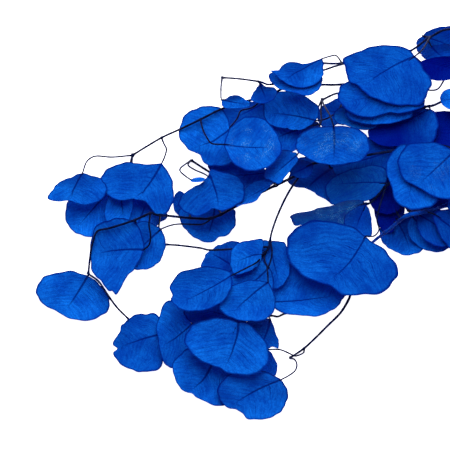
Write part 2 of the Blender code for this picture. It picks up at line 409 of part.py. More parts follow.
class Blade:
    """The curved sheet of one leaf, over its own outline or else an ellipse."""

    def __init__(self, leaf):
        self.leaf = leaf
        self.phase = PHASE_STEP * (leaf.centre[0] + PHASE_SKEW * leaf.centre[1])
        self.centre = place(leaf.centre)
        turn = math.radians(leaf.turn)
        across = np.array([math.cos(turn), -math.sin(turn)])
        upward = np.array([math.sin(turn), math.cos(turn)])
        self.matrix = np.column_stack([across * leaf.wide / 2, upward * leaf.long / 2])
        self.inverse = np.linalg.inv(self.matrix)
        base = self.inverse @ (place(leaf.base) - self.centre)
        self.base_reach = np.clip(np.linalg.norm(base), *BASE_REACH_LIMITS)
        self.base_angle = math.atan2(base[1], base[0])
        self.height = 0.0
        if leaf.rim:
            self.rim = self.read_rim()
            self.base_reach = float(self.reach(self.base_angle))

    def read_rim(self):
        """The outline that the list gives, as angles and reaches from the centre."""
        rim = [place(point) for point in self.leaf.rim]
        edge = smooth_route(rim + rim[:1], RIM_STEP)
        u, v = self.inverse @ (edge - self.centre).T
        return np.arctan2(v, u), np.hypot(u, v)

    def reach(self, angle):
        """How far the outline lies from the centre, with a beak at the stalk and uneven edges."""
        if self.leaf.rim:
            return np.interp(angle, *self.rim, period=2 * np.pi)
        off = (angle - self.base_angle + np.pi) % (2 * np.pi) - np.pi
        at_stalk = np.exp(-(off / BEAK_WIDTH) ** 2)
        uneven = UNEVEN_EDGE * np.sin(3 * angle + self.phase)
        return 1 + (self.base_reach - 1) * at_stalk + uneven * (1 - at_stalk)

    def rise(self, u, v):
        """Height of the sheet above its own level, at a place in the unit disc."""
        leaf = self.leaf
        toward_tip = -(u * math.cos(self.base_angle) + v * math.sin(self.base_angle))
        sideways = -u * math.sin(self.base_angle) + v * math.cos(self.base_angle)
        angle = np.arctan2(v, u)
        out = u ** 2 + v ** 2
        if leaf.pressed:
            return leaf.cup * np.maximum(0, out - PRESSED_REACH ** 2)
        wavy = leaf.wave * out * np.sin(3 * angle + self.phase)
        lean = (leaf.roll + UNEVEN_LEAN * math.sin(self.phase * 1.7)) * sideways
        return (leaf.cup * out + leaf.fold * np.abs(sideways) + lean
                - leaf.dip * (toward_tip + 1) / 2 + wavy)

    def half_thickness(self, u, v):
        """Half of the upright thickness, which grows with the slope so that the blade stays as thick."""
        small = 0.02
        gradient = np.stack([self.rise(u + small, v) - self.rise(u - small, v),
                             self.rise(u, v + small) - self.rise(u, v - small)]) / (2 * small)
        slope = self.inverse.T @ gradient.reshape(2, -1)
        stretch = np.sqrt(1 + np.minimum(np.sum(slope ** 2, axis=0), 3))
        return BLADE_THICKNESS / 2 * stretch.reshape(np.shape(u))

    def plan(self, u, v):
        """Place in plan, in millimetres, of a place in the unit disc."""
        return self.centre[:, None] + self.matrix @ np.stack([np.ravel(u), np.ravel(v)])

    def rim_places(self, sectors):
        """Places in the unit disc of the middle and the rings, ring by ring."""
        angles = self.base_angle + np.arange(sectors) * 2 * math.pi / sectors
        reach = self.reach(angles)
        u = [0.0]
        v = [0.0]
        for ring in BLADE_RINGS:
            u.extend(ring * reach * np.cos(angles))
            v.extend(ring * reach * np.sin(angles))
        return np.array(u), np.array(v)

    def sectors(self):
        """More sectors on a larger leaf."""
        size = max(self.leaf.wide, self.leaf.long)
        more = RIM_SECTORS if self.leaf.rim else 0
        if size < SMALL_LEAF:
            return SECTORS[0] + more
        return SECTORS[1] + more if size < LARGE_LEAF else SECTORS[2] + more

    def midrib(self, along):
        """A point on the sheet, along the midrib from the stalk at 0 to the tip at 1."""
        out = self.base_reach * (1 - 2 * along) if along < 0.5 else 1 - 2 * along
        u = np.array([out * math.cos(self.base_angle)])
        v = np.array([out * math.sin(self.base_angle)])
        x, y = self.plan(u, v)[:, 0]
        return np.array([x, y, self.height + self.rise(u, v)[0]])


class Pile:
    """The height that has been reached over each small square of the surface."""

    def __init__(self):
        self.top = np.zeros(GRID_CELLS)

    def cell(self, points):
        """The squares that hold the given places."""
        cells = np.floor((points - GRID_ORIGIN) / CELL).astype(int)
        return np.clip(cells, 0, np.array(GRID_CELLS) - 1)

    def squares_under(self, blade):
        """The squares that a blade covers, with their places in its unit disc."""
        half = np.abs(blade.matrix).sum(axis=1) * WIDEST_REACH + CELL
        low = self.cell(blade.centre - half)
        high = self.cell(blade.centre + half)
        i, j = np.meshgrid(np.arange(low[0], high[0] + 1), np.arange(low[1], high[1] + 1), indexing="ij")
        i = i.ravel()
        j = j.ravel()
        middles = GRID_ORIGIN + (np.column_stack([i, j]) + 0.5) * CELL
        u, v = blade.inverse @ (middles - blade.centre).T
        margin = 1 + CELL / min(blade.leaf.wide, blade.leaf.long)
        inside = np.hypot(u, v) <= blade.reach(np.arctan2(v, u)) * margin
        return i[inside], j[inside], u[inside], v[inside]

    def lay_blade(self, blade):
        """Sets a blade down on the pile, and raises the pile by it."""
        rim_u, rim_v = blade.rim_places(blade.sectors())
        rim_under = blade.rise(rim_u, rim_v) - blade.half_thickness(rim_u, rim_v)
        floor_gap = 0 if blade.leaf.pressed else FLOOR_GAP
        blade.height = floor_gap - rim_under.min()
        i, j, u, v = self.squares_under(blade)
        held = self.top[i, j] > 0
        if held.any():
            under = blade.rise(u, v) - blade.half_thickness(u, v)
            blade.height = max(blade.height, (self.top[i, j] + REST_GAP - under)[held].max())
        top = blade.height + blade.rise(u, v) + blade.half_thickness(u, v)
        self.top[i, j] = np.maximum(self.top[i, j], top)

    def clearance(self, points, radii):
        """The lowest height at which a round twig passes over the pile at each point."""
        reach = radii + CELL / 2
        level = np.zeros(len(points))
        for side in AROUND:
            i, j = self.cell(points + np.outer(reach, side)).T
            level = np.maximum(level, self.top[i, j])
        return np.where(level > 0, level + REST_GAP, FLOOR_GAP) + radii

    def raise_along(self, path, radii):
        """Raises the pile by a twig that lies along a path."""
        for side in AROUND:
            i, j = self.cell(path[:, :2] + np.outer(radii, side)).T
            np.maximum.at(self.top, (i, j), path[:, 2] + radii)


def taut(along, floor):
    """The lowest stiff line over a floor of points: straight from one high point to the next."""
    kept = []
    for i in range(len(along)):
        while len(kept) > 1:
            a, b = kept[-2], kept[-1]
            rise_to_last = (floor[b] - floor[a]) * (along[i] - along[a])
            if (along[b] - along[a]) * (floor[i] - floor[a]) < rise_to_last:
                break
            kept.pop()
        kept.append(i)
    return np.interp(along, along[kept], floor[kept])


def soften(heights, rounds):
    """Rounds off the bends of a line of heights, with its ends kept."""
    for _ in range(rounds):
        heights[1:-1] = (heights[:-2] + 2 * heights[1:-1] + heights[2:]) / 4
    return heights


def nearest_on(path, point):
    """The index of the path's point that lies nearest to a place in plan."""
    return int(np.argmin(np.linalg.norm(path[:, :2] - point[:2], axis=1)))


def lay_twig(twig, laid, pile):
    """Finds a twig's path in three dimensions, from its parent outwards, and lays it on the pile."""
    plan = smooth_route([place(p) for p in twig.route], LAYING_STEP)
    along = lengths_along(plan)
    radii = np.interp(along, [0, along[-1]], twig.radii)
    if twig.height:
        heights = np.interp(along, [0, along[-1]], twig.height)
        path = np.column_stack([plan, heights])
        pile.raise_along(path, radii)
        return path, radii
    parent_path, parent_radii = laid[twig.parent]
    at = nearest_on(parent_path, plan[0])
    floor = pile.clearance(plan, radii)
    floor[along < ROOT_WIDTHS * (parent_radii[at] + radii[0])] = 0
    floor[0] = parent_path[at, 2]
    path = np.column_stack([plan, soften(taut(along, floor), TWIG_ROUNDS)])
    pile.raise_along(path, radii)
    return path, radii


def sunk_in_parent(path, radii, parent_path):
    """Starts a twig a little way back along the twig of the same spray that it grows from."""
    back = max(nearest_on(parent_path, path[0]) - 2, 0)
    return np.vstack([parent_path[back], path]), np.concatenate([[radii[0]], radii])


def heading(path, start, stop):
    """The direction from one point of a path to another."""
    way = path[min(stop, len(path) - 1)] - path[max(start, 0)]
    return way / np.linalg.norm(way)


def clear_of_parent(path, radii, parent_path, parent_radii):
    """Ends a twig's root just short of the stem that carries it, which is a solid of its own."""
    last = len(parent_path) - 1
    if nearest_on(parent_path, path[0]) == last:
        ahead = heading(path, 0, 3)
        bend = np.linalg.norm(np.cross(heading(parent_path, last - 3, last), ahead))
        return np.vstack([path[0] + ahead * (ROOT_GAP + bend * radii[0]), path[2:]]), radii[1:]
    short_of = 0.0
    for i in range(1, len(path)):
        ahead = path[i] - path[i - 1]
        apart = np.linalg.norm(parent_path - path[i], axis=1)
        near = int(np.argmin(apart))
        lean = abs(np.dot(heading(path, i - 1, i), heading(parent_path, near - 1, near + 1)))
        beyond = apart[near] - parent_radii[near] - ROOT_GAP - radii[i] * lean
        if beyond >= 0:
            start = path[i] - ahead * beyond / (beyond - short_of)
            return np.vstack([start, path[i:]]), np.concatenate([[radii[i]], radii[i:]])
        short_of = beyond
    return path, radii


def apart_points(points, least):
    """The indices of the points that lie further than a least distance from the one kept before."""
    kept = [0]
    for i in range(1, len(points)):
        if np.linalg.norm(points[i] - points[kept[-1]]) > least:
            kept.append(i)
    return kept


def stalk_path(blade, twig_path, pile=None):
    """A leaf's stalk, from its foot on the twig to the blade. It runs at the blade's level and bends to
    the twig at its foot. Over a pile, it keeps clear of what lies below its middle."""
    leaf = blade.leaf
    points = np.array([place(p) for p in (leaf.foot or leaf.base, *leaf.via, leaf.base)])
    foot = twig_path[nearest_on(twig_path, points[0])]
    plan = np.vstack([foot[:2], points])
    plan = plan[apart_points(plan, SHORTEST_STEP)]
    if len(plan) < 2:
        return np.array([foot, blade.midrib(STALK_SINK)])
    plan = smooth_route(plan, LAYING_STEP)
    along = lengths_along(plan) / lengths_along(plan)[-1]
    join = blade.midrib(0)
    heights = foot[2] + (join[2] - foot[2]) * (1 - (1 - along) ** 2)
    if pile:
        floor = pile.clearance(plan, np.full(len(plan), STALK_RADIUS))
        floor[(along < STALK_FREE[0]) | (along > STALK_FREE[1])] = 0
        heights = soften(np.maximum(heights, floor), STALK_ROUNDS)
    return np.vstack([np.column_stack([plan, heights])[:-1], join])


def lay_out():
    """Lays all twigs and leaves on each other, and returns their paths, blades and stalks."""
    pile = Pile()
    laid = {}
    blades = []
    stalks = {}
    for item in LAYERS:
        if isinstance(item, Twig):
            laid[item.name] = lay_twig(item, laid, pile)
            continue
        blade = Blade(item)
        pile.lay_blade(blade)
        blades.append(blade)
        if item.twig in laid:
            stalks[blade] = stalk_path(blade, laid[item.twig][0], pile)
            pile.raise_along(stalks[blade], np.full(len(stalks[blade]), STALK_RADIUS))
    for blade in blades:
        if blade not in stalks:
            stalks[blade] = stalk_path(blade, laid[blade.leaf.twig][0])
    return laid, blades, stalks


def thin_out(path, radii, step):
    """Reads a path at wider steps, for a tube of few faces."""
    along = lengths_along(path) + 1e-6 * np.arange(len(path))
    count = max(2, int(round(along[-1] / step)) + 1)
    marks = np.linspace(0, along[-1], count)
    points = np.column_stack([np.interp(marks, along, path[:, k]) for k in range(3)])
    return points, np.interp(marks, along, radii)


def new_object(name, mesh_maker):
    """Makes an object, in metres, from a function that fills a bmesh in millimetres."""
    shape = bmesh.new()
    mesh_maker(shape)
    bmesh.ops.triangulate(shape, faces=shape.faces[:])
    bmesh.ops.recalc_face_normals(shape, faces=shape.faces[:])
    bmesh.ops.scale(shape, vec=(METRES, METRES, METRES), verts=shape.verts[:])
    mesh = bpy.data.meshes.new(name)
    shape.to_mesh(mesh)
    shape.free()
    thing = bpy.data.objects.new(name, mesh)
    bpy.context.collection.objects.link(thing)
    return thing


def tube(name, points, radii, sides):
    """Makes a closed tube along a path."""
    kept = apart_points(points, SHORTEST_STEP)
    points = points[kept]
    radii = radii[kept]

    def fill(shape):
        rings = []
        normal = np.array([0.0, 0.0, 1.0])
        for i, point in enumerate(points):
            ahead = points[min(i + 1, len(points) - 1)] - points[max(i - 1, 0)]
            ahead = ahead / np.linalg.norm(ahead)
            normal = normal - ahead * np.dot(normal, ahead)
            normal = normal / np.linalg.norm(normal)
            side = np.cross(ahead, normal)
            ring = []
            for k in range(sides):
                turn = 2 * math.pi * k / sides + math.pi / 2
                spoke = math.cos(turn) * side + math.sin(turn) * normal
                ring.append(shape.verts.new(point + radii[i] * spoke))
            rings.append(ring)
        for lower, upper in zip(rings, rings[1:]):
            for k in range(sides):
                following = (k + 1) % sides
                shape.faces.new((lower[k], lower[following], upper[following], upper[k]))
        shape.faces.new(rings[0][::-1])
        shape.faces.new(rings[-1])
    return new_object(name, fill)


def blade_solid(name, blade):
    """Makes a blade with an upper and a lower face that are split into triangles alike."""
    sectors = blade.sectors()
    u, v = blade.rim_places(sectors)
    x, y = blade.plan(u, v)
    middle = blade.height + blade.rise(u, v)
    half = blade.half_thickness(u, v)

    def fill(shape):
        faces = []
        for k in range(sectors):
            following = (k + 1) % sectors
            faces.append((0, 1 + k, 1 + following))
            faces.append((1 + k, 1 + sectors + k, 1 + sectors + following))
            faces.append((1 + k, 1 + sectors + following, 1 + following))
        upper = [shape.verts.new((x[i], y[i], middle[i] + half[i])) for i in range(len(x))]
        lower = [shape.verts.new((x[i], y[i], middle[i] - half[i])) for i in range(len(x))]
        for a, b, c in faces:
            shape.faces.new((upper[a], upper[b], upper[c]))
            shape.faces.new((lower[c], lower[b], lower[a]))
        for k in range(sectors):
            a = 1 + sectors + k
            b = 1 + sectors + (k + 1) % sectors
            shape.faces.new((upper[a], lower[a], lower[b]))
            shape.faces.new((upper[a], lower[b], upper[b]))
    return new_object(name, fill)


def material(name, colour, roughness):
    """A plain dyed finish."""
    finish = bpy.data.materials.new(name)
    finish.use_nodes = True
    surface = finish.node_tree.nodes["Principled BSDF"]
    surface.inputs["Base Color"].default_value = (*colour, 1)
    surface.inputs["Roughness"].default_value = roughness
    surface.inputs["Metallic"].default_value = 0
    return finish


def fuse(node, pieces, finish):
    """Joins the pieces of a spray into one solid, by one union."""
    body = pieces[0]
    body.name = node
    body.data.name = node
    if len(pieces) > 1:
        rest = bpy.data.collections.new(node + "_pieces")
        bpy.context.scene.collection.children.link(rest)
        for piece in pieces[1:]:
            bpy.context.collection.objects.unlink(piece)
            rest.objects.link(piece)
        union = body.modifiers.new("join", "BOOLEAN")
        union.operation = "UNION"
        union.operand_type = "COLLECTION"
        union.collection = rest
        union.solver = "MANIFOLD"
        bpy.context.view_layer.objects.active = body
        bpy.ops.object.modifier_apply(modifier=union.name)
        for piece in pieces[1:]:
            bpy.data.objects.remove(piece)
        bpy.data.collections.remove(rest)
    body.data.materials.clear()
    body.data.materials.append(finish)
    body.data.shade_smooth()
    body.data.set_sharp_from_angle(angle=math.radians(40))


def centre_on_origin(objects):
    """Moves the branch so that the origin lies in the middle of its underside."""
    corners = []
    for thing in objects:
        corners.extend(vertex.co.copy() for vertex in thing.data.vertices)
    corners = np.array(corners)
    low = corners.min(axis=0)
    high = corners.max(axis=0)
    shift = np.array([-(low[0] + high[0]) / 2, -(low[1] + high[1]) / 2, -low[2]])
    for thing in objects:
        for vertex in thing.data.vertices:
            vertex.co = [vertex.co[k] + shift[k] for k in range(3)]


def make_pieces():
    """Makes each twig, blade and stalk as a solid, and lists them by the node that they belong to."""
    twigs = {item.name: item for item in LAYERS if isinstance(item, Twig)}
    laid, blades, stalks = lay_out()
    pieces = {}
    for name, twig in twigs.items():
        path, radii = laid[name]
        if twig.parent and twig.node == twigs[twig.parent].node:
            path, radii = sunk_in_parent(path, radii, laid[twig.parent][0])
        elif twig.parent:
            path, radii = clear_of_parent(path, radii, *laid[twig.parent])
        points, widths = thin_out(path, radii, TWIG_STEP if twig.parent else STEM_STEP)
        sides = TWIG_SIDES if twig.parent else STEM_SIDES
        pieces.setdefault(twig.node, []).append(tube(name, points, widths, sides))
    for number, blade in enumerate(blades):
        node = twigs[blade.leaf.twig].node
        pieces[node].append(blade_solid(f"blade_{number}", blade))
        stalk = stalks[blade]
        points, widths = thin_out(stalk, np.full(len(stalk), STALK_RADIUS), STALK_STEP)
        points = np.vstack([points, blade.midrib(STALK_SINK)])
        widths = np.append(widths, STALK_TIP_RADIUS)
        pieces[node].append(tube(f"stalk_{number}", points, widths, STALK_SIDES))
    return pieces


def make_branch():
    for thing in list(bpy.data.objects):
        bpy.data.objects.remove(thing)
    leaf_blue = material("leaf_blue", (0.0, 0.09, 0.52), 0.5)
    twig_blue = material("twig_dark_blue", (0.01, 0.015, 0.06), 0.6)
    pieces = make_pieces()
    for node, parts in pieces.items():
        fuse(node, parts, twig_blue if node == "main_stem" else leaf_blue)
    centre_on_origin([bpy.data.objects[node] for node in pieces])


make_branch()
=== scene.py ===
"""The looks of a dried branch of round leaves, dyed blue, that lies on a white table and is seen from
straight above. Sizes are in millimetres until a mesh or curve is made, which is in metres."""

import json
import math
from dataclasses import dataclass

import bpy
import numpy as np
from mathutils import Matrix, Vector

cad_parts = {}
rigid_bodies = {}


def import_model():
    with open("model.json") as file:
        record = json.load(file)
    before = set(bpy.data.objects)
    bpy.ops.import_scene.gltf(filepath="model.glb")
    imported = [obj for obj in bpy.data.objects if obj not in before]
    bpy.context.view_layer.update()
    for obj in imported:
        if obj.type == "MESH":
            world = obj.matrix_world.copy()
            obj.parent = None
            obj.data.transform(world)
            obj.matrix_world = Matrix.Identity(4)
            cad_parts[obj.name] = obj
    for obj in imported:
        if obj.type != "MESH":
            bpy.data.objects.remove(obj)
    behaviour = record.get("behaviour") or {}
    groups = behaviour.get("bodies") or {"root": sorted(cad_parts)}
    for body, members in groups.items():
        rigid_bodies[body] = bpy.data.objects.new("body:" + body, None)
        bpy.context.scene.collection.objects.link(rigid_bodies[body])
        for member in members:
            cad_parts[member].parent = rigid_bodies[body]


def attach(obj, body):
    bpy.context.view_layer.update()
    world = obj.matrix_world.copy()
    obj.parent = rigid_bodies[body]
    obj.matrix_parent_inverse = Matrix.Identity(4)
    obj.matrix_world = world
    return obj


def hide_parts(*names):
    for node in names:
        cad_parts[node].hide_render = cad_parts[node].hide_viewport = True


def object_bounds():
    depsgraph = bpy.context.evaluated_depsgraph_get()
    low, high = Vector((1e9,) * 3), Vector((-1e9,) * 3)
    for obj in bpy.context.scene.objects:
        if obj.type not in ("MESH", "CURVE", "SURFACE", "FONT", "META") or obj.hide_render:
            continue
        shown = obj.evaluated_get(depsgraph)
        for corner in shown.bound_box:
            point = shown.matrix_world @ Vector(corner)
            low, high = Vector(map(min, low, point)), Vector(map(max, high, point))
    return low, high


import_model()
cad_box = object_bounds()

# The way the branch lies.
# A branch that was laid down by hand: stem and leaves rest on each other from the lowest to the highest,
# so the list runs upwards. Places are in pixels of the picture, which looks straight down.
METRES = 0.001
PIXEL_MM = 0.7
PICTURE_SIDE = 450

BLADE_THICKNESS = 0.7
BASE_REACH_LIMITS = (0.75, 1.35)
WIDEST_REACH = 1.7
BEAK_WIDTH = 0.4
UNEVEN_EDGE = 0.02
UNEVEN_LEAN = 1.6
PHASE_STEP = 2.4
PHASE_SKEW = 1.7
LEAN_RATE = 1.7
SLOPE_STEP = 0.02
STEEPEST = 3
RIM_STEP = 0.8
RIM_SECTORS = 4
PRESSED_REACH = 0.57
STALK_RADIUS = 0.65
STALK_SINK = 0.22
STALK_FREE = (0.3, 0.85)
STALK_ROUNDS = 8
TWIG_ROUNDS = 6
CUT_END_RADIUS = 2.8
STEM_RADIUS = 1.8
TWIG_RADIUS = 1.1
THIN_RADIUS = 0.75

REST_GAP = 0.9
FLOOR_GAP = 0.05
ROOT_WIDTHS = 4.0
STEM_HEIGHT = 9.0

CELL = 1.5
GRID_ORIGIN = np.array([-30.0, -60.0])
GRID_CELLS = (380, 300)
AROUND = [(x, y) for x in (-1, 0, 1) for y in (-1, 0, 1)]

LAYING_STEP = 1.5
CURVE_POINTS = 12
SHORTEST_STEP = 0.5
BLADE_RINGS = (0.55, 1.0)
SECTORS = (10, 12, 16)
SMALL_LEAF = 26.0
LARGE_LEAF = 50.0


@dataclass
class Twig:
    """A twig or stem: its route in pixels, its radii at root and end, and the twig that it grows from."""
    name: str
    node: str
    route: list
    radii: tuple
    parent: str = ""
    height: tuple = ()


@dataclass
class Leaf:
    """A leaf: its blade's centre, stalk end and rim (x and y in turn) in pixels, its width and length in
    millimetres, and its turn in degrees clockwise. Dip, roll, cup, fold and wave bend the sheet, in
    millimetres. Foot and via lead the stalk from its twig. Shade darkens the leaf, for deeper dye and for
    painted shade where other leaves cover it, and its slope paints that shade darker towards one side. Age
    tints the leaf, and its dustiness lays pale dusty specks on it together with painted sheen."""
    twig: str
    centre: tuple
    base: tuple
    wide: float
    long: float
    turn: float
    dip: float = 4.0
    roll: float = 0.0
    cup: float = 2.0
    fold: float = 0.0
    wave: float = 0.9
    foot: tuple = ()
    via: tuple = ()
    pressed: bool = False
    rim: tuple = ()
    shade: float = 0.0
    painted_shade_slope: tuple = (0.0, 0.0)
    age: float = 0.0
    dust_and_sheen: float = 0.0
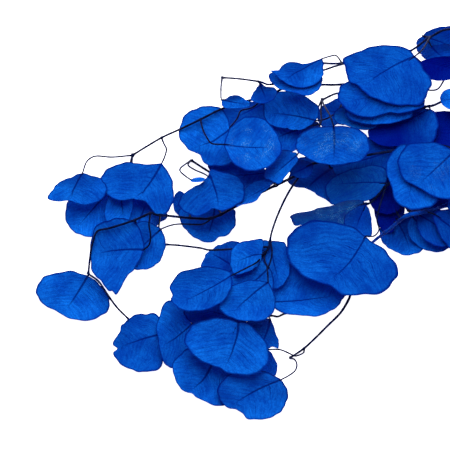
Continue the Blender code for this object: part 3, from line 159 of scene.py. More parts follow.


# Dusty leaves get pale specks and a pale haze that are partly real dustiness and partly painted sheen.
# Shade values stand for deeper dye together with painted shade on leaves that lie low in the pile, and the
# darkest leaves are painted nearly black with shade; the slopes paint that shade darker to one side.
LAYERS = [
    # The stem rests on its cut end.
    Twig("stem", "main_stem", [(690, 110), (620, 140), (560, 165), (500, 188), (440, 207)],
         (CUT_END_RADIUS, STEM_RADIUS), height=(CUT_END_RADIUS, STEM_HEIGHT)),

    # Leaves under the outer stretch of the stem. One is pressed flat on the surface.
    Leaf("outer", (402, 236), (395, 217), 38, 32, 20, pressed=True, shade=0.4, painted_shade_slope=(-0.2, 0.3),
         rim=(395, 216, 408, 214, 420, 217, 427, 229, 427, 241, 424, 249, 418, 253.5, 408, 255.5, 400, 254,
         393, 250, 387, 247, 382, 240, 380, 231, 385, 222)),
    Leaf("outer", (388, 215), (395, 222), 28, 18, 80, dip=2, shade=1, rim=(395, 222, 393, 232, 384, 231,
         378, 223, 375, 213, 376, 202, 390, 196, 403, 200, 405, 212, 402, 220)),
    Leaf("outer", (390, 192), (397, 212), 18, 30, 0, dip=1, cup=1, shade=1, rim=(397, 212, 402, 204, 401, 186,
         397, 170, 391, 164, 382, 168, 374, 184, 369, 198, 374, 209, 386, 214)),
    Leaf("outer", (432, 232), (412, 216), 35, 27, 20, wave=1, shade=0.15, painted_shade_slope=(0.0, 0.2)),
    Leaf("outer", (440, 228), (418, 214), 34, 25, 25, wave=1, shade=0.6),
    Leaf("outer", (466, 232), (434, 214), 40, 32, 30, foot=(425, 211), shade=0.45),
    Leaf("outer", (430, 200), (409, 210), 36, 12, 15, dip=1, cup=1, shade=0.9, rim=(409, 213, 404, 205,
         411, 198, 425, 193, 440, 190, 452, 191, 457, 196, 446, 203, 432, 208.5, 419, 212.5)),
    Twig("outer", "spray_low", [(440, 207), (430, 210), (418, 213), (408, 215), (400, 220), (390, 229),
         (380, 236.5), (371, 244)], (STEM_RADIUS, TWIG_RADIUS), "stem"),

    # The low spray, down to the lower left.
    Leaf("low_side", (138, 343), (163, 334), 42, 36, 80, wave=1.2, shade=0.2, rim=(163, 334, 162, 322,
         157.5, 315, 152, 312.8, 145, 315, 140, 313.5, 134, 315, 129, 319, 125, 322, 120.6, 326, 119.5, 332.5,
         114, 339, 112.5, 345, 117, 349, 113, 352.5, 113.5, 357, 117, 361.5, 122, 366, 129, 369.5, 136, 372,
         144, 372.5, 153, 372, 159, 369, 162.5, 364, 163, 350)),
    Leaf("low_side", (175, 334), (192, 324), 49, 28, 95, wave=1.2, shade=0.05, painted_shade_slope=(0.35, -0.05),
         rim=(192, 324, 188, 314, 180, 305, 172, 300, 165, 302.5, 161, 310, 158, 320, 156, 328, 158, 340,
         160, 352, 163, 362, 172, 369, 180, 366, 186, 355, 190, 340)),
    Leaf("low_side", (197, 379), (214, 360), 43, 35, 50, wave=1.1, shade=-0.05, painted_shade_slope=(0.1, 0.25),
         rim=(214, 360, 228, 366, 236, 378, 234, 394, 226, 405, 217, 406, 210, 404.5, 203, 401, 197, 398,
         191, 394, 185, 392, 180, 388.5, 177, 384, 174.5, 377, 172, 369, 174, 361, 184, 351, 196, 346,
         207, 350)),
    Leaf("low", (262, 366), (268, 350), 24, 20, 50, foot=(304, 349), via=((304, 353), (296, 356.5),
         (290, 354), (280, 350))),
    Twig("low", "spray_low", [(371, 244), (362, 268), (352, 292), (349, 300), (341, 313), (328, 326),
         (316, 338), (304, 349), (290, 358.5)], (TWIG_RADIUS, THIN_RADIUS), "outer"),
    Twig("low_side", "spray_low", [(352, 292), (330, 303), (300, 311), (285, 314), (278, 317), (271, 316),
         (255, 318), (240, 320), (215, 318), (195, 323)], (THIN_RADIUS, THIN_RADIUS), "low"),
    Leaf("low_side", (214, 314), (246, 322), 42, 17, 5, shade=0.55, rim=(246, 322, 240, 330, 226, 331,
         212, 329, 198, 326, 186, 318, 184, 309, 190, 304, 202, 304, 216, 302, 232, 306, 250, 311)),
    Leaf("low_side", (262, 336), (270, 320), 29, 18, 35, shade=0.45, rim=(271, 319, 274, 327, 276.5, 335,
         279, 341.5, 278, 348, 272, 347, 264, 350, 252, 346, 244, 336, 243, 326, 250, 320, 262, 317)),
    Leaf("low", (254, 397), (282, 379), 49, 32, 10, dip=5, foot=(290, 358.5), via=((295, 360), (297, 365),
         (295, 371), (288, 376)), shade=0, painted_shade_slope=(-0.15, 0.1), rim=(280, 379, 284, 383, 287.5, 389, 288, 396,
         286.5, 403, 282, 410.5, 277, 415, 270.5, 418, 262.5, 419.5, 254, 420, 247, 419, 242.5, 413.5,
         235.5, 410, 229, 408.5, 223.5, 404.5, 218.5, 399, 217.5, 390, 220, 383, 226, 377, 237, 371, 250, 369,
         265, 371, 273, 374.5)),
    Leaf("low_side", (227, 346), (239, 320), 62, 36, 17, dip=5, shade=-0.1, rim=(239, 321.5, 232, 319.5,
         225, 318, 214, 318, 203, 320, 194.5, 323.5, 188.5, 329, 185, 336, 185, 343, 189, 350.5, 195, 356,
         203, 361.5, 213, 366, 220, 367.5, 225, 371.5, 233, 374, 244, 375, 255, 373.5, 263, 369.5, 268, 362.5,
         269.5, 354, 267.5, 346, 263.5, 338, 257.5, 331, 251, 325, 245, 322)),

    # Lower leaves of the two left sprays.
    Leaf("upper_left", (89, 213), (110, 189), 36, 32, -35, wave=1.2, foot=(132, 155), via=((130, 162),
         (126, 172), (120, 180)), shade=-0.1, painted_shade_slope=(0.25, 0.1), rim=(110, 190, 112, 200, 111, 215, 106, 226,
         98, 234, 90, 237, 81, 235.5, 73, 231.5, 67, 225, 64.5, 216, 65.5, 207, 69, 199, 78, 192, 90, 188,
         100, 187)),
    Leaf("left", (142, 212), (137, 225), 27, 21, 0, shade=0.35, rim=(137, 225, 129, 221, 130, 208, 133, 198,
         145, 196, 156, 205, 167, 213, 166, 219, 160, 222, 157, 226, 148, 227)),
    Leaf("upper_left", (122, 206), (120, 189), 23, 17, 90, fold=4, foot=(132, 155), via=((131, 166),
         (125, 178)), rim=(111, 190, 121, 188, 131, 192, 133, 203, 131, 214, 127, 221, 111, 226, 104, 217,
         106, 202)),
    Leaf("left", (150, 240), (158, 232), 21, 18, 0, shade=0.5),
    Leaf("left", (142, 247), (161, 229), 35, 32, 60, foot=(212, 218), via=((207, 222), (200, 224.5),
         (180, 224), (170, 225.5)), shade=0.1, rim=(161, 229, 165, 237, 165.5, 246, 163, 255, 159, 262,
         152, 267.5, 142, 270, 133, 269, 125, 262, 120, 250, 121, 237, 128, 227, 138, 222, 150, 222)),
    Leaf("left", (180, 203), (190, 200), 17, 10, 90, shade=0.6),
    Leaf("upper_left", (139, 188), (162, 163), 54, 38, 20, dip=6, foot=(162, 138), via=((164, 144),
         (166.5, 149), (165, 156)), shade=0.13, rim=(162, 163, 168, 171, 172, 180, 174, 192, 173, 203,
         168, 212, 161, 216, 154, 212, 148, 204, 141, 200, 131, 199, 119, 200, 107, 195, 100, 187, 100, 178,
         105, 171, 113, 166, 124, 162.5, 138, 163, 150, 164.5)),
    Leaf("left", (208, 222), (215, 203), 42, 29, -5, wave=1, shade=-0.05, painted_shade_slope=(0, 0.2), rim=(218, 204,
         228, 206, 234.5, 210, 236, 219, 235, 226, 231, 232, 226, 236, 219.5, 237, 215.5, 241, 209, 242.5,
         202, 241.5, 194, 237.5, 186, 230.5, 181, 223, 178, 213, 182, 207, 192, 203, 205, 202)),
    Leaf("left", (73, 297), (88, 275), 53, 32, 10, dip=2, shade=-0.1, rim=(88, 275.5, 92, 278.5, 98.5, 284,
         106, 292, 109.5, 301, 108, 310, 101.5, 316, 91, 320.5, 79, 321, 68, 318.5, 59, 313.5, 50, 309,
         41, 303, 36, 295, 36.5, 286, 42, 278, 51, 274, 61, 272, 72, 271, 80, 273.5)),
    Leaf("left", (115, 255), (143, 250), 55, 38, 100, fold=3, foot=(151, 213), via=((149, 225), (150.5, 235),
         (149, 245)), shade=0.15, rim=(144, 250, 141, 258, 134, 269, 127, 277, 121, 287, 116, 295.5,
         112, 291.5, 108, 291, 103, 284, 96, 277, 91, 269, 90, 258, 90, 245, 92, 234, 96, 226, 105, 221,
         118, 218, 130, 219.5, 139, 227, 143, 238)),
    Leaf("upper_left", (78, 189), (83, 172), 41, 22, -9, dip=6, foot=(132, 155), via=((112, 157), (97, 156),
         (90, 158.5), (86, 163)), rim=(83, 173, 92, 175.5, 99, 177.5, 105, 183, 107, 190, 104, 197, 97, 202,
         86, 205, 76, 203, 68, 200.5, 60, 201.5, 50, 200.5, 48, 196, 53, 189, 58, 183, 64, 179.5, 71, 177.5,
         77, 174)),

    # The middle spray, whose twig carries the left one.
    Leaf("middle", (352, 160), (392, 150), 52, 28, 0, shade=0.6, rim=(401, 148, 404, 158, 397, 170, 384, 178,
         368, 182, 350, 181, 334, 178, 322, 168, 319, 158, 325, 146, 345, 141, 366, 137, 391, 139)),
    Leaf("middle", (316, 183), (330, 170), 31, 21, 35, shade=0.5, rim=(333, 168, 337, 182, 338, 195, 333, 204,
         325, 199, 318, 195.5, 312, 191, 304, 188, 296, 187, 288, 182, 290, 173, 297, 159, 316, 157)),
    Leaf("low_side", (311, 296), (271, 302), 52, 31, 5, shade=0.05, painted_shade_slope=(0.0, 0.25), foot=(269, 316),
         via=((268, 309),), rim=(270, 291, 274, 280, 283, 269, 292, 262, 306, 263, 322, 270, 338, 282,
         345, 292, 342, 302, 335, 309, 326, 314, 314, 317, 300, 315.5, 287, 314.5, 279, 312, 272, 305,
         269, 299)),
    Leaf("middle", (218, 258), (236, 268), 31, 24, -40, foot=(264, 254), via=((250, 262),), shade=0.4,
         painted_shade_slope=(0.1, -0.3), rim=(236, 268, 240, 255, 240, 243, 234, 241, 227, 242, 221, 244.5, 216, 246,
         212, 249.5, 205.5, 254, 204, 259, 200.5, 266, 206, 275, 222, 276)),
    Leaf("middle", (277, 265), (271, 243), 35, 21, 80, shade=0.2, rim=(271, 241, 279, 241, 285, 243, 288, 252,
         290, 263, 289, 275, 283, 285, 276, 289, 268, 284, 260, 270, 258, 255, 262, 241)),
    Leaf("middle", (248, 284), (266, 270), 32, 28, -30, foot=(270, 240), via=((272, 251), (270, 263)),
         rim=(268, 266, 273, 275, 273, 288, 264, 300, 248, 303, 233, 300, 226, 290, 227, 276, 236, 265,
         248, 256, 259, 256)),
    Twig("middle", "spray_middle", [(540, 172), (500, 158), (450, 145), (400, 150), (350, 158), (312, 164),
         (303, 172), (296, 181), (290, 190), (284, 201), (279, 212), (275, 222), (271, 235), (269, 247),
         (264, 254)], (TWIG_RADIUS, THIN_RADIUS), "stem"),
    Twig("middle_side", "spray_middle", [(269, 247), (255, 247), (240, 247), (232, 249), (210, 250),
         (200, 248), (180, 245.5), (166, 244.5)], (THIN_RADIUS, THIN_RADIUS), "middle"),
    Leaf("middle", (251, 259), (265, 253), 32, 27, -25, wave=1, shade=0, rim=(262, 251, 263.5, 245,
         263, 239.5, 257, 239, 248, 240.5, 241, 242, 236, 244, 231.5, 250, 230, 258, 230.5, 267, 234, 274,
         244, 273, 256, 267, 261, 259)),

    # The left spray and its side twig.
    Twig("left", "spray_left", [(303, 172), (285, 181), (262, 192), (242, 203), (233, 208), (212, 218),
         (190, 218), (170, 216), (155, 214.5), (151, 213), (132, 221), (110, 228), (97, 231.5), (92, 245),
         (90, 256), (88, 274)], (TWIG_RADIUS, THIN_RADIUS), "middle"),
    Twig("left_end", "spray_left", [(88, 274), (98, 281), (105, 291), (111, 300), (118, 309), (128, 319)],
         (THIN_RADIUS, THIN_RADIUS), "left"),
    Twig("left_side", "spray_left", [(245, 201), (232, 190), (220, 178), (208, 171), (191, 160)],
         (TWIG_RADIUS, THIN_RADIUS), "left"),
    Leaf("middle", (300, 169), (312, 164), 17, 13, 20, shade=0.7),
    Leaf("upper_left", (250, 110), (262, 104), 24, 14, 0, shade=0.6, age=0.4, rim=(264, 103, 269, 110,
         269, 121, 258, 122, 248, 124, 236, 126, 228, 128, 222, 117, 223, 107, 236, 104, 250, 101)),
    Leaf("upper_middle", (338, 111), (350, 112), 20, 18, 0, shade=0.45, rim=(350, 112, 351, 119, 345, 124.5,
         338, 124, 333, 127, 325, 128, 319, 122, 318, 113, 323, 105, 331, 101.5, 337, 98, 345, 101)),
    Leaf("upper_middle", (287, 136), (308, 128), 28, 22, 0, foot=(322, 99.5), via=((316, 112),), shade=0.45,
         rim=(318, 122, 321, 130, 310, 137, 300, 147, 290, 152, 279, 149, 273, 140, 268, 127, 272, 117,
         290, 115, 305, 117)),
    Leaf("left", (243, 173), (270, 172), 42, 18, 5, shade=0.4, rim=(272, 172, 275, 180, 262, 189, 246, 190,
         230, 182, 216, 178, 209, 170, 209, 160, 215, 152, 235, 158, 255, 165)),
    Leaf("left", (257, 191), (275, 183), 28, 17, -30, fold=2, shade=0.3, rim=(276, 182, 272, 185, 266, 190,
         262, 193, 257, 200, 250, 203.5, 243, 204.5, 236, 207, 238, 198, 244, 190, 250, 184, 260, 180,
         270, 179)),
    Leaf("left_side", (211, 193), (208, 176), 48, 30, -8, dip=6, foot=(191, 160), via=((188, 165), (195, 170),
         (202, 173)), shade=0.3, painted_shade_slope=(-0.15, 0.0), rim=(208, 177, 211, 169, 219, 171, 227, 173, 238, 176,
         243.5, 184, 245, 192, 242.5, 201, 232, 207.5, 222, 210.5, 212, 209, 206, 213, 196, 216.5, 188, 214,
         180.5, 208, 178, 203, 182, 196, 190, 189, 200, 184)),
    Leaf("left_side", (198, 180), (191, 180), 10.5, 3.5, -5, dip=0, cup=0.3, wave=0, foot=(191, 160),
         via=((180, 169), (184, 175))),
    Leaf("middle", (250, 301), (268, 282), 36, 28, 0, foot=(264, 254), via=((265, 262), (267, 267)),
         shade=0.03, rim=(268, 282, 272, 288, 275, 297, 275.5, 304, 273.5, 311, 268, 317.5, 260, 320.5,
         250, 321, 240, 320, 231, 317.5, 223, 312.5, 218, 306, 221, 297, 228, 288, 238, 283, 248, 280,
         259, 280)),
    Leaf("middle", (201, 289), (232, 275), 45, 29, -12, dip=4, foot=(264, 254), via=((257, 262), (248, 267),
         (240, 271)), shade=0.23, rim=(231.5, 272.5, 232.5, 281, 231, 289, 227.5, 296, 221, 302.5, 213, 307,
         203, 310, 191, 311, 181, 309, 174.5, 305, 171, 299, 172.5, 295, 170, 290.5, 170.5, 285, 173.5, 279.5,
         178, 273.5, 185, 270.5, 193, 268.5, 202, 266.5, 215, 267, 224, 269)),

    # The upper middle spray.
    Leaf("upper_middle", (283, 167), (296, 156), 27, 13, -50, fold=2, foot=(322, 99.5), via=((321, 110),
         (319, 127)), shade=0.15, rim=(296, 153, 298, 160, 293, 167, 286, 176, 279, 184, 271, 181, 264, 177.5,
         266, 168, 274, 158, 283, 150)),
    Leaf("right", (449, 128), (460, 143), 26, 24, 0, shade=1.1, rim=(460, 143, 466, 132, 464, 118, 455, 112,
         444, 111, 432, 113, 429, 126, 429, 139, 436, 149, 450, 151)),
    Leaf("upper_middle", (403, 127), (430, 109), 49, 28, -8, shade=0.95, painted_shade_slope=(-0.5, 0), rim=(430, 109,
         436, 114, 438, 123, 437, 132, 434, 140, 427, 146, 412, 147, 398, 146.5, 383, 145.5, 373, 141.5,
         368, 134, 370, 127, 384, 121, 400, 114, 416, 108)),
    Leaf("upper_middle", (291, 118), (319, 121), 42, 38, 30, fold=1.5, foot=(343, 96), via=((340, 108),
         (330, 117)), shade=-0.1, rim=(319, 117, 319, 108, 311, 100, 301, 93.5, 290, 91, 280, 92, 271, 96,
         264.5, 103, 263, 112, 266, 120, 273, 126, 285, 128, 297, 130, 308, 127)),
    Leaf("upper_middle", (535, 140), (528, 117), 38, 30, 10),
    Twig("upper_middle", "spray_upper_middle", [(590, 152), (545, 125), (500, 106), (450, 98.5), (443, 101),
         (433, 105.5), (424, 107), (390, 112), (360, 108), (343, 96), (337, 93), (322, 99.5)],
         (TWIG_RADIUS, THIN_RADIUS), "stem"),
    Leaf("upper_middle", (360, 118), (378, 108), 29, 17, 5, shade=0.2, age=0.5, rim=(378, 108, 382, 118,
         378, 126, 368, 130, 357, 129, 346, 125.5, 336, 122, 333, 115, 341, 107, 360, 105)),

    # The upper left spray, the longest.
    Leaf("upper_left", (208, 138), (228, 130), 46, 39, 70, dip=4, foot=(262, 100), via=((252, 108),
         (241, 111), (237, 119)), shade=-0.05, painted_shade_slope=(0.3, -0.1), rim=(230, 130, 228, 118, 220, 108, 210, 106,
         200, 107.5, 191, 110.5, 184.5, 116, 181, 122.5, 179, 131, 179.5, 138, 183, 144, 189, 150, 196, 153,
         200.5, 156.5, 204, 162.5, 210, 166, 219, 166, 230, 164.5, 239, 156, 236, 142)),
    Leaf("upper_middle", (332, 147), (333, 127), 53, 27, 3, dip=6, foot=(322, 99.5), via=((325, 107),
         (330, 117)), dust_and_sheen=0.5, shade=0.1, rim=(334, 126.5, 345, 127, 357, 129, 365, 135.5, 369, 144,
         368, 153, 362, 160, 352, 163, 338, 165, 323, 164.5, 310, 160, 298, 152.5, 294.5, 145, 299, 135.5,
         306, 130.5, 318, 127.5)),
    Twig("upper_left", "spray_upper_left", [(615, 142), (565, 110), (510, 85), (450, 74), (400, 78),
         (343, 84.5), (321, 85), (300, 87), (283, 89), (265, 98), (250, 100.5), (240, 103), (220, 110),
         (200, 120), (180, 129.5), (163, 137), (147, 146), (132, 155)], (TWIG_RADIUS, THIN_RADIUS), "stem"),
    Leaf("upper_left", (253, 144), (224, 145), 41, 37, 20, foot=(201, 120), via=((203, 130), (207, 138),
         (212, 144)), dust_and_sheen=0.45, shade=0.25, rim=(224, 145, 227, 134, 232.5, 126, 240, 120, 250, 117,
         260, 118, 268, 123, 274, 130, 278.5, 138, 281.5, 146, 280, 155, 274, 163, 263, 169.5, 251, 171,
         240, 168.5, 231, 161, 226, 152)),
    Leaf("upper_left", (530, 72), (520, 89), 36, 28, -10),

    # The spray with the broadest leaf.
    Leaf("broad", (357, 186), (386, 183), 45, 28, -25, shade=0.35, age=0.6, rim=(386, 183, 383, 190, 376, 196,
         366, 201, 352, 203, 338, 204, 331, 204, 327, 196, 325, 186, 334, 177, 346, 171, 360, 167.5, 375, 165,
         385, 168, 388, 176)),
    Leaf("broad", (330, 213), (366, 203), 57, 18, -12, roll=6, shade=0.25, age=0.9, dust_and_sheen=0.8, rim=(365, 201,
         362, 210, 355, 220, 345, 226, 330, 228, 312, 227, 302, 225, 296, 226, 291.5, 221, 290.5, 216.5,
         296, 213, 309, 211, 320, 207.5, 332, 205.5, 343, 201.5, 354, 200)),
    Leaf("broad", (478, 200), (470, 180), 44, 34, 0),
    Twig("broad", "spray_broad", [(515, 182), (480, 178), (440, 179), (400, 181), (388, 184), (378, 195),
         (370, 203), (364, 204)], (TWIG_RADIUS, THIN_RADIUS), "stem"),
    Leaf("broad", (361, 219), (366, 204), 17, 23, 0, fold=2, shade=0.5, rim=(366, 204, 370, 212, 372, 225,
         371, 237, 362, 235, 347, 229, 344, 217, 355, 208)),
    Leaf("broad", (341, 260), (366, 236), 81, 49, 17, dip=6, cup=2.5, foot=(385, 188), via=((377, 217),
         (379, 229), (374, 236)), shade=0.2, rim=(366, 236, 371, 241, 378, 245, 384, 249.5, 390, 256,
         396, 263, 398, 270, 396, 278, 391, 285.5, 384, 291.5, 375, 294.5, 363, 295, 350, 295.3, 342, 294.5,
         336, 290, 329, 286, 320, 282.5, 309, 278.5, 300, 274, 294, 267.5, 289, 260, 286, 251, 286.5, 242,
         291, 233, 298, 226, 309, 221.5, 322, 220.5, 337, 222.5, 352, 227)),

    # The right spray.
    Twig("right", "spray_right", [(560, 165), (530, 150), (490, 146), (458, 150)], (TWIG_RADIUS, THIN_RADIUS),
         "stem"),
    Leaf("right", (505, 166), (495, 147), 40, 32, -10),
    Leaf("right", (413, 177), (420, 145), 46, 38, 75, foot=(458, 150), via=((440, 145),), shade=0,
         rim=(420, 145, 408, 144, 398, 146, 391, 153, 386, 163, 386, 173, 390, 183, 392, 192, 395, 200,
         401, 206, 409, 209, 418, 209.5, 428, 207.5, 436, 203, 440, 197, 445, 185, 440, 165, 430, 150)),
    Leaf("right", (433, 170), (455, 150), 52, 36, 15, dip=4, shade=0.28, dust_and_sheen=0.15, rim=(456, 150, 450, 149,
         441, 144.5, 431, 142.5, 420, 142.5, 409, 144, 401.5, 150.5, 397.5, 160, 398, 169, 402, 177, 408, 183,
         417, 187, 425, 191.5, 431, 196, 441, 198.5, 451, 199, 460, 196, 468, 182, 466, 164)),

    # The top spray, over all the others.
    Leaf("top_side", (262, 93), (259, 83), 18, 14, -20, shade=0.5, rim=(260, 83, 266, 87, 274, 88, 277, 94,
         272, 101, 262, 104, 251, 101, 252, 95, 256, 89)),
    Leaf("top", (440, 42), (423, 35), 35, 24, -15, foot=(430, 37), shade=0.65, rim=(422, 36, 427, 31.5,
         435, 27.5, 445, 25.8, 458, 25, 468, 32, 468, 46, 455, 55, 440, 57, 426, 55, 418, 51, 417, 45,
         418, 39)),
    Leaf("top", (440, 52), (432, 46), 25, 11, -10, shade=0.7),
    Leaf("top", (560, 58), (548, 68), 44, 34, -20),
    Twig("top", "spray_top", [(640, 131), (590, 95), (530, 58), (480, 35), (450, 29), (432, 36), (415, 48),
         (408, 51), (380, 57), (342, 62.5), (323, 62.5)], (TWIG_RADIUS, THIN_RADIUS), "stem"),
    Twig("top_side", "spray_top", [(360, 60), (342, 64), (324, 70), (300, 78), (271, 85), (260, 82.5),
         (240, 79), (222, 77)], (THIN_RADIUS, THIN_RADIUS), "top"),
    Leaf("top_side", (236, 102), (221, 100), 21, 10, -5, foot=(222, 77), via=((221, 88),), shade=0.13,
         rim=(221, 99, 225, 99.5, 229, 97, 235, 95.5, 241, 97, 246, 100.5, 250, 103, 249, 107, 240, 108.5,
         228, 109, 222.5, 107)),
    Leaf("upper_left", (296, 83), (318, 80), 35, 17, 0, shade=0.3, rim=(322, 78, 321, 86, 315.5, 93,
         306, 96.5, 292, 93, 280, 90, 271, 83, 269.5, 74, 290, 72, 310, 73)),
    Leaf("top", (298, 75), (321, 60), 38, 20, -8, foot=(342, 62.5), via=((336, 56), (330, 57)), shade=0.13,
         rim=(322, 59, 323, 70, 321.5, 79, 313, 86, 303, 88.5, 292, 87, 281, 81, 274, 75, 269.5, 70.5,
         277.5, 71.5, 282, 66, 290, 63, 298, 63.5, 303, 65, 311, 63)),
    Leaf("top", (500, 14), (492, 38), 46, 36, 10, dip=5),
    Leaf("upper_middle", (452, 99), (462, 97), 17, 15, 0),
    Leaf("upper_middle", (382, 108), (410, 100), 49, 24, -3, foot=(424, 107), shade=0.05, rim=(410, 100,
         414, 107, 413, 114, 409, 118.5, 399, 121.5, 387, 124, 372, 124.5, 358, 123, 350, 119.5, 345, 114,
         346, 106, 355, 99, 375, 94, 395, 94)),
    Leaf("upper_left", (380, 99), (420, 90), 60, 28, 5, dip=4, foot=(450, 74), via=((444, 80), (436, 90)),
         shade=0.42, rim=(420, 90, 424, 97, 423, 106, 415, 110.5, 405, 112.5, 398, 113.5, 388, 113, 380, 115,
         371, 117.5, 361, 117, 350, 112.5, 342, 106.5, 337.5, 99, 338, 91, 342, 85, 350, 81, 365, 79, 385, 80,
         405, 83)),
    Leaf("top", (442, 69), (420, 62), 34, 17, -5, foot=(408, 51), shade=1.05),
    Leaf("top", (387, 76), (414, 57), 62, 41, 12, dip=5, foot=(430, 37), via=((422, 50),), shade=0.3,
         rim=(414, 57, 418, 62, 423, 70, 429, 77, 430.5, 84, 428, 92, 424, 100, 419, 105, 408, 106,
         397, 105.5, 386, 103, 375, 99.5, 367, 95, 360, 89, 354, 84.5, 349, 82.5, 346, 75, 344, 68,
         342.5, 60.5, 349, 55.5, 359, 51.5, 370, 48, 379, 46, 388, 45.8, 399, 47.5, 409, 50.5)),
]


def place(pixel):
    """Turns a place in the picture into millimetres, with Y up."""
    return np.array([pixel[0] * PIXEL_MM, (PICTURE_SIDE - pixel[1]) * PIXEL_MM])


def smooth_route(points, step):
    """Reads points at even steps from a smooth curve through the given ones."""
    points = np.array(points, float)
    ends = np.vstack([2 * points[0] - points[1], points, 2 * points[-1] - points[-2]])
    fine = []
    for i in range(1, len(ends) - 2):
        before, start, stop, after = ends[i - 1:i + 3]
        for t in np.linspace(0, 1, CURVE_POINTS, endpoint=False):
            fine.append(0.5 * (2 * start + (stop - before) * t
                               + (2 * before - 5 * start + 4 * stop - after) * t ** 2
                               + (3 * start - before - 3 * stop + after) * t ** 3))
    fine.append(points[-1])
    fine = np.array(fine)
    along = np.concatenate([[0], np.cumsum(np.linalg.norm(np.diff(fine, axis=0), axis=1))])
    count = max(2, int(round(along[-1] / step)) + 1)
    marks = np.linspace(0, along[-1], count)
    return np.column_stack([np.interp(marks, along, fine[:, k]) for k in range(fine.shape[1])])


def lengths_along(points):
    """Gives the distance of each point from the first one, along the route in plan."""
    steps = np.linalg.norm(np.diff(points[:, :2], axis=0), axis=1)
    return np.concatenate([[0], np.cumsum(steps)])


class Blade:
    """The curved sheet of one leaf, over its own outline or else an ellipse."""

    def __init__(self, leaf):
        self.leaf = leaf
        self.phase = PHASE_STEP * (leaf.centre[0] + PHASE_SKEW * leaf.centre[1])
        self.centre = place(leaf.centre)
        turn = math.radians(leaf.turn)
        across = np.array([math.cos(turn), -math.sin(turn)])
        upward = np.array([math.sin(turn), math.cos(turn)])
        self.matrix = np.column_stack([across * leaf.wide / 2, upward * leaf.long / 2])
        self.inverse = np.linalg.inv(self.matrix)
        base = self.inverse @ (place(leaf.base) - self.centre)
        self.base_reach = np.clip(np.linalg.norm(base), *BASE_REACH_LIMITS)
        self.base_angle = math.atan2(base[1], base[0])
        self.height = 0.0
        if leaf.rim:
            self.rim = self.read_rim()
            self.base_reach = float(self.reach(self.base_angle))

    def read_rim(self):
        """The outline that the list gives, as angles and reaches from the centre."""
        rim = [place(point) for point in np.reshape(self.leaf.rim, (-1, 2))]
        edge = smooth_route(rim + rim[:1], RIM_STEP)
        u, v = self.inverse @ (edge - self.centre).T
        return np.arctan2(v, u), np.hypot(u, v)

    def reach(self, angle):
        """How far the outline lies from the centre, with a beak at the stalk and uneven edges."""
        if self.leaf.rim:
            return np.interp(angle, *self.rim, period=2 * np.pi)
        off = (angle - self.base_angle + np.pi) % (2 * np.pi) - np.pi
        at_stalk = np.exp(-(off / BEAK_WIDTH) ** 2)
        uneven = UNEVEN_EDGE * np.sin(3 * angle + self.phase)
        return 1 + (self.base_reach - 1) * at_stalk + uneven * (1 - at_stalk)

    def rise(self, u, v):
        """Height of the sheet above its own level, at a place in the unit disc."""
        leaf = self.leaf
        toward_tip = -(u * math.cos(self.base_angle) + v * math.sin(self.base_angle))
        sideways = -u * math.sin(self.base_angle) + v * math.cos(self.base_angle)
        angle = np.arctan2(v, u)
        out = u ** 2 + v ** 2
        if leaf.pressed:
            return leaf.cup * np.maximum(0, out - PRESSED_REACH ** 2)
        wavy = leaf.wave * out * np.sin(3 * angle + self.phase)
        lean = (leaf.roll + UNEVEN_LEAN * math.sin(self.phase * LEAN_RATE)) * sideways
        return (leaf.cup * out + leaf.fold * np.abs(sideways) + lean
                - leaf.dip * (toward_tip + 1) / 2 + wavy)

    def half_thickness(self, u, v):
        """Half of the upright thickness, which grows with the slope so that the blade stays as thick."""
        small = SLOPE_STEP
        gradient = np.stack([self.rise(u + small, v) - self.rise(u - small, v),
                             self.rise(u, v + small) - self.rise(u, v - small)]) / (2 * small)
        slope = self.inverse.T @ gradient.reshape(2, -1)
        stretch = np.sqrt(1 + np.minimum(np.sum(slope ** 2, axis=0), STEEPEST))
        return BLADE_THICKNESS / 2 * stretch.reshape(np.shape(u))

    def plan(self, u, v):
        """Place in plan, in millimetres, of a place in the unit disc."""
        return self.centre[:, None] + self.matrix @ np.stack([np.ravel(u), np.ravel(v)])

    def rim_places(self, sectors):
        """Places in the unit disc of the middle and the rings, ring by ring."""
        angles = self.base_angle + np.arange(sectors) * 2 * math.pi / sectors
        reach = self.reach(angles)
        u = [0.0]
        v = [0.0]
        for ring in BLADE_RINGS:
            u.extend(ring * reach * np.cos(angles))
            v.extend(ring * reach * np.sin(angles))
        return np.array(u), np.array(v)

    def sectors(self):
        """More sectors on a larger leaf."""
        size = max(self.leaf.wide, self.leaf.long)
        more = RIM_SECTORS if self.leaf.rim else 0
        if size < SMALL_LEAF:
            return SECTORS[0] + more
        return SECTORS[1] + more if size < LARGE_LEAF else SECTORS[2] + more

    def midrib(self, along):
        """A point on the sheet, along the midrib from the stalk at 0 to the tip at 1."""
        out = self.base_reach * (1 - 2 * along) if along < 0.5 else 1 - 2 * along
        u = np.array([out * math.cos(self.base_angle)])
        v = np.array([out * math.sin(self.base_angle)])
        x, y = self.plan(u, v)[:, 0]
        return np.array([x, y, self.height + self.rise(u, v)[0]])


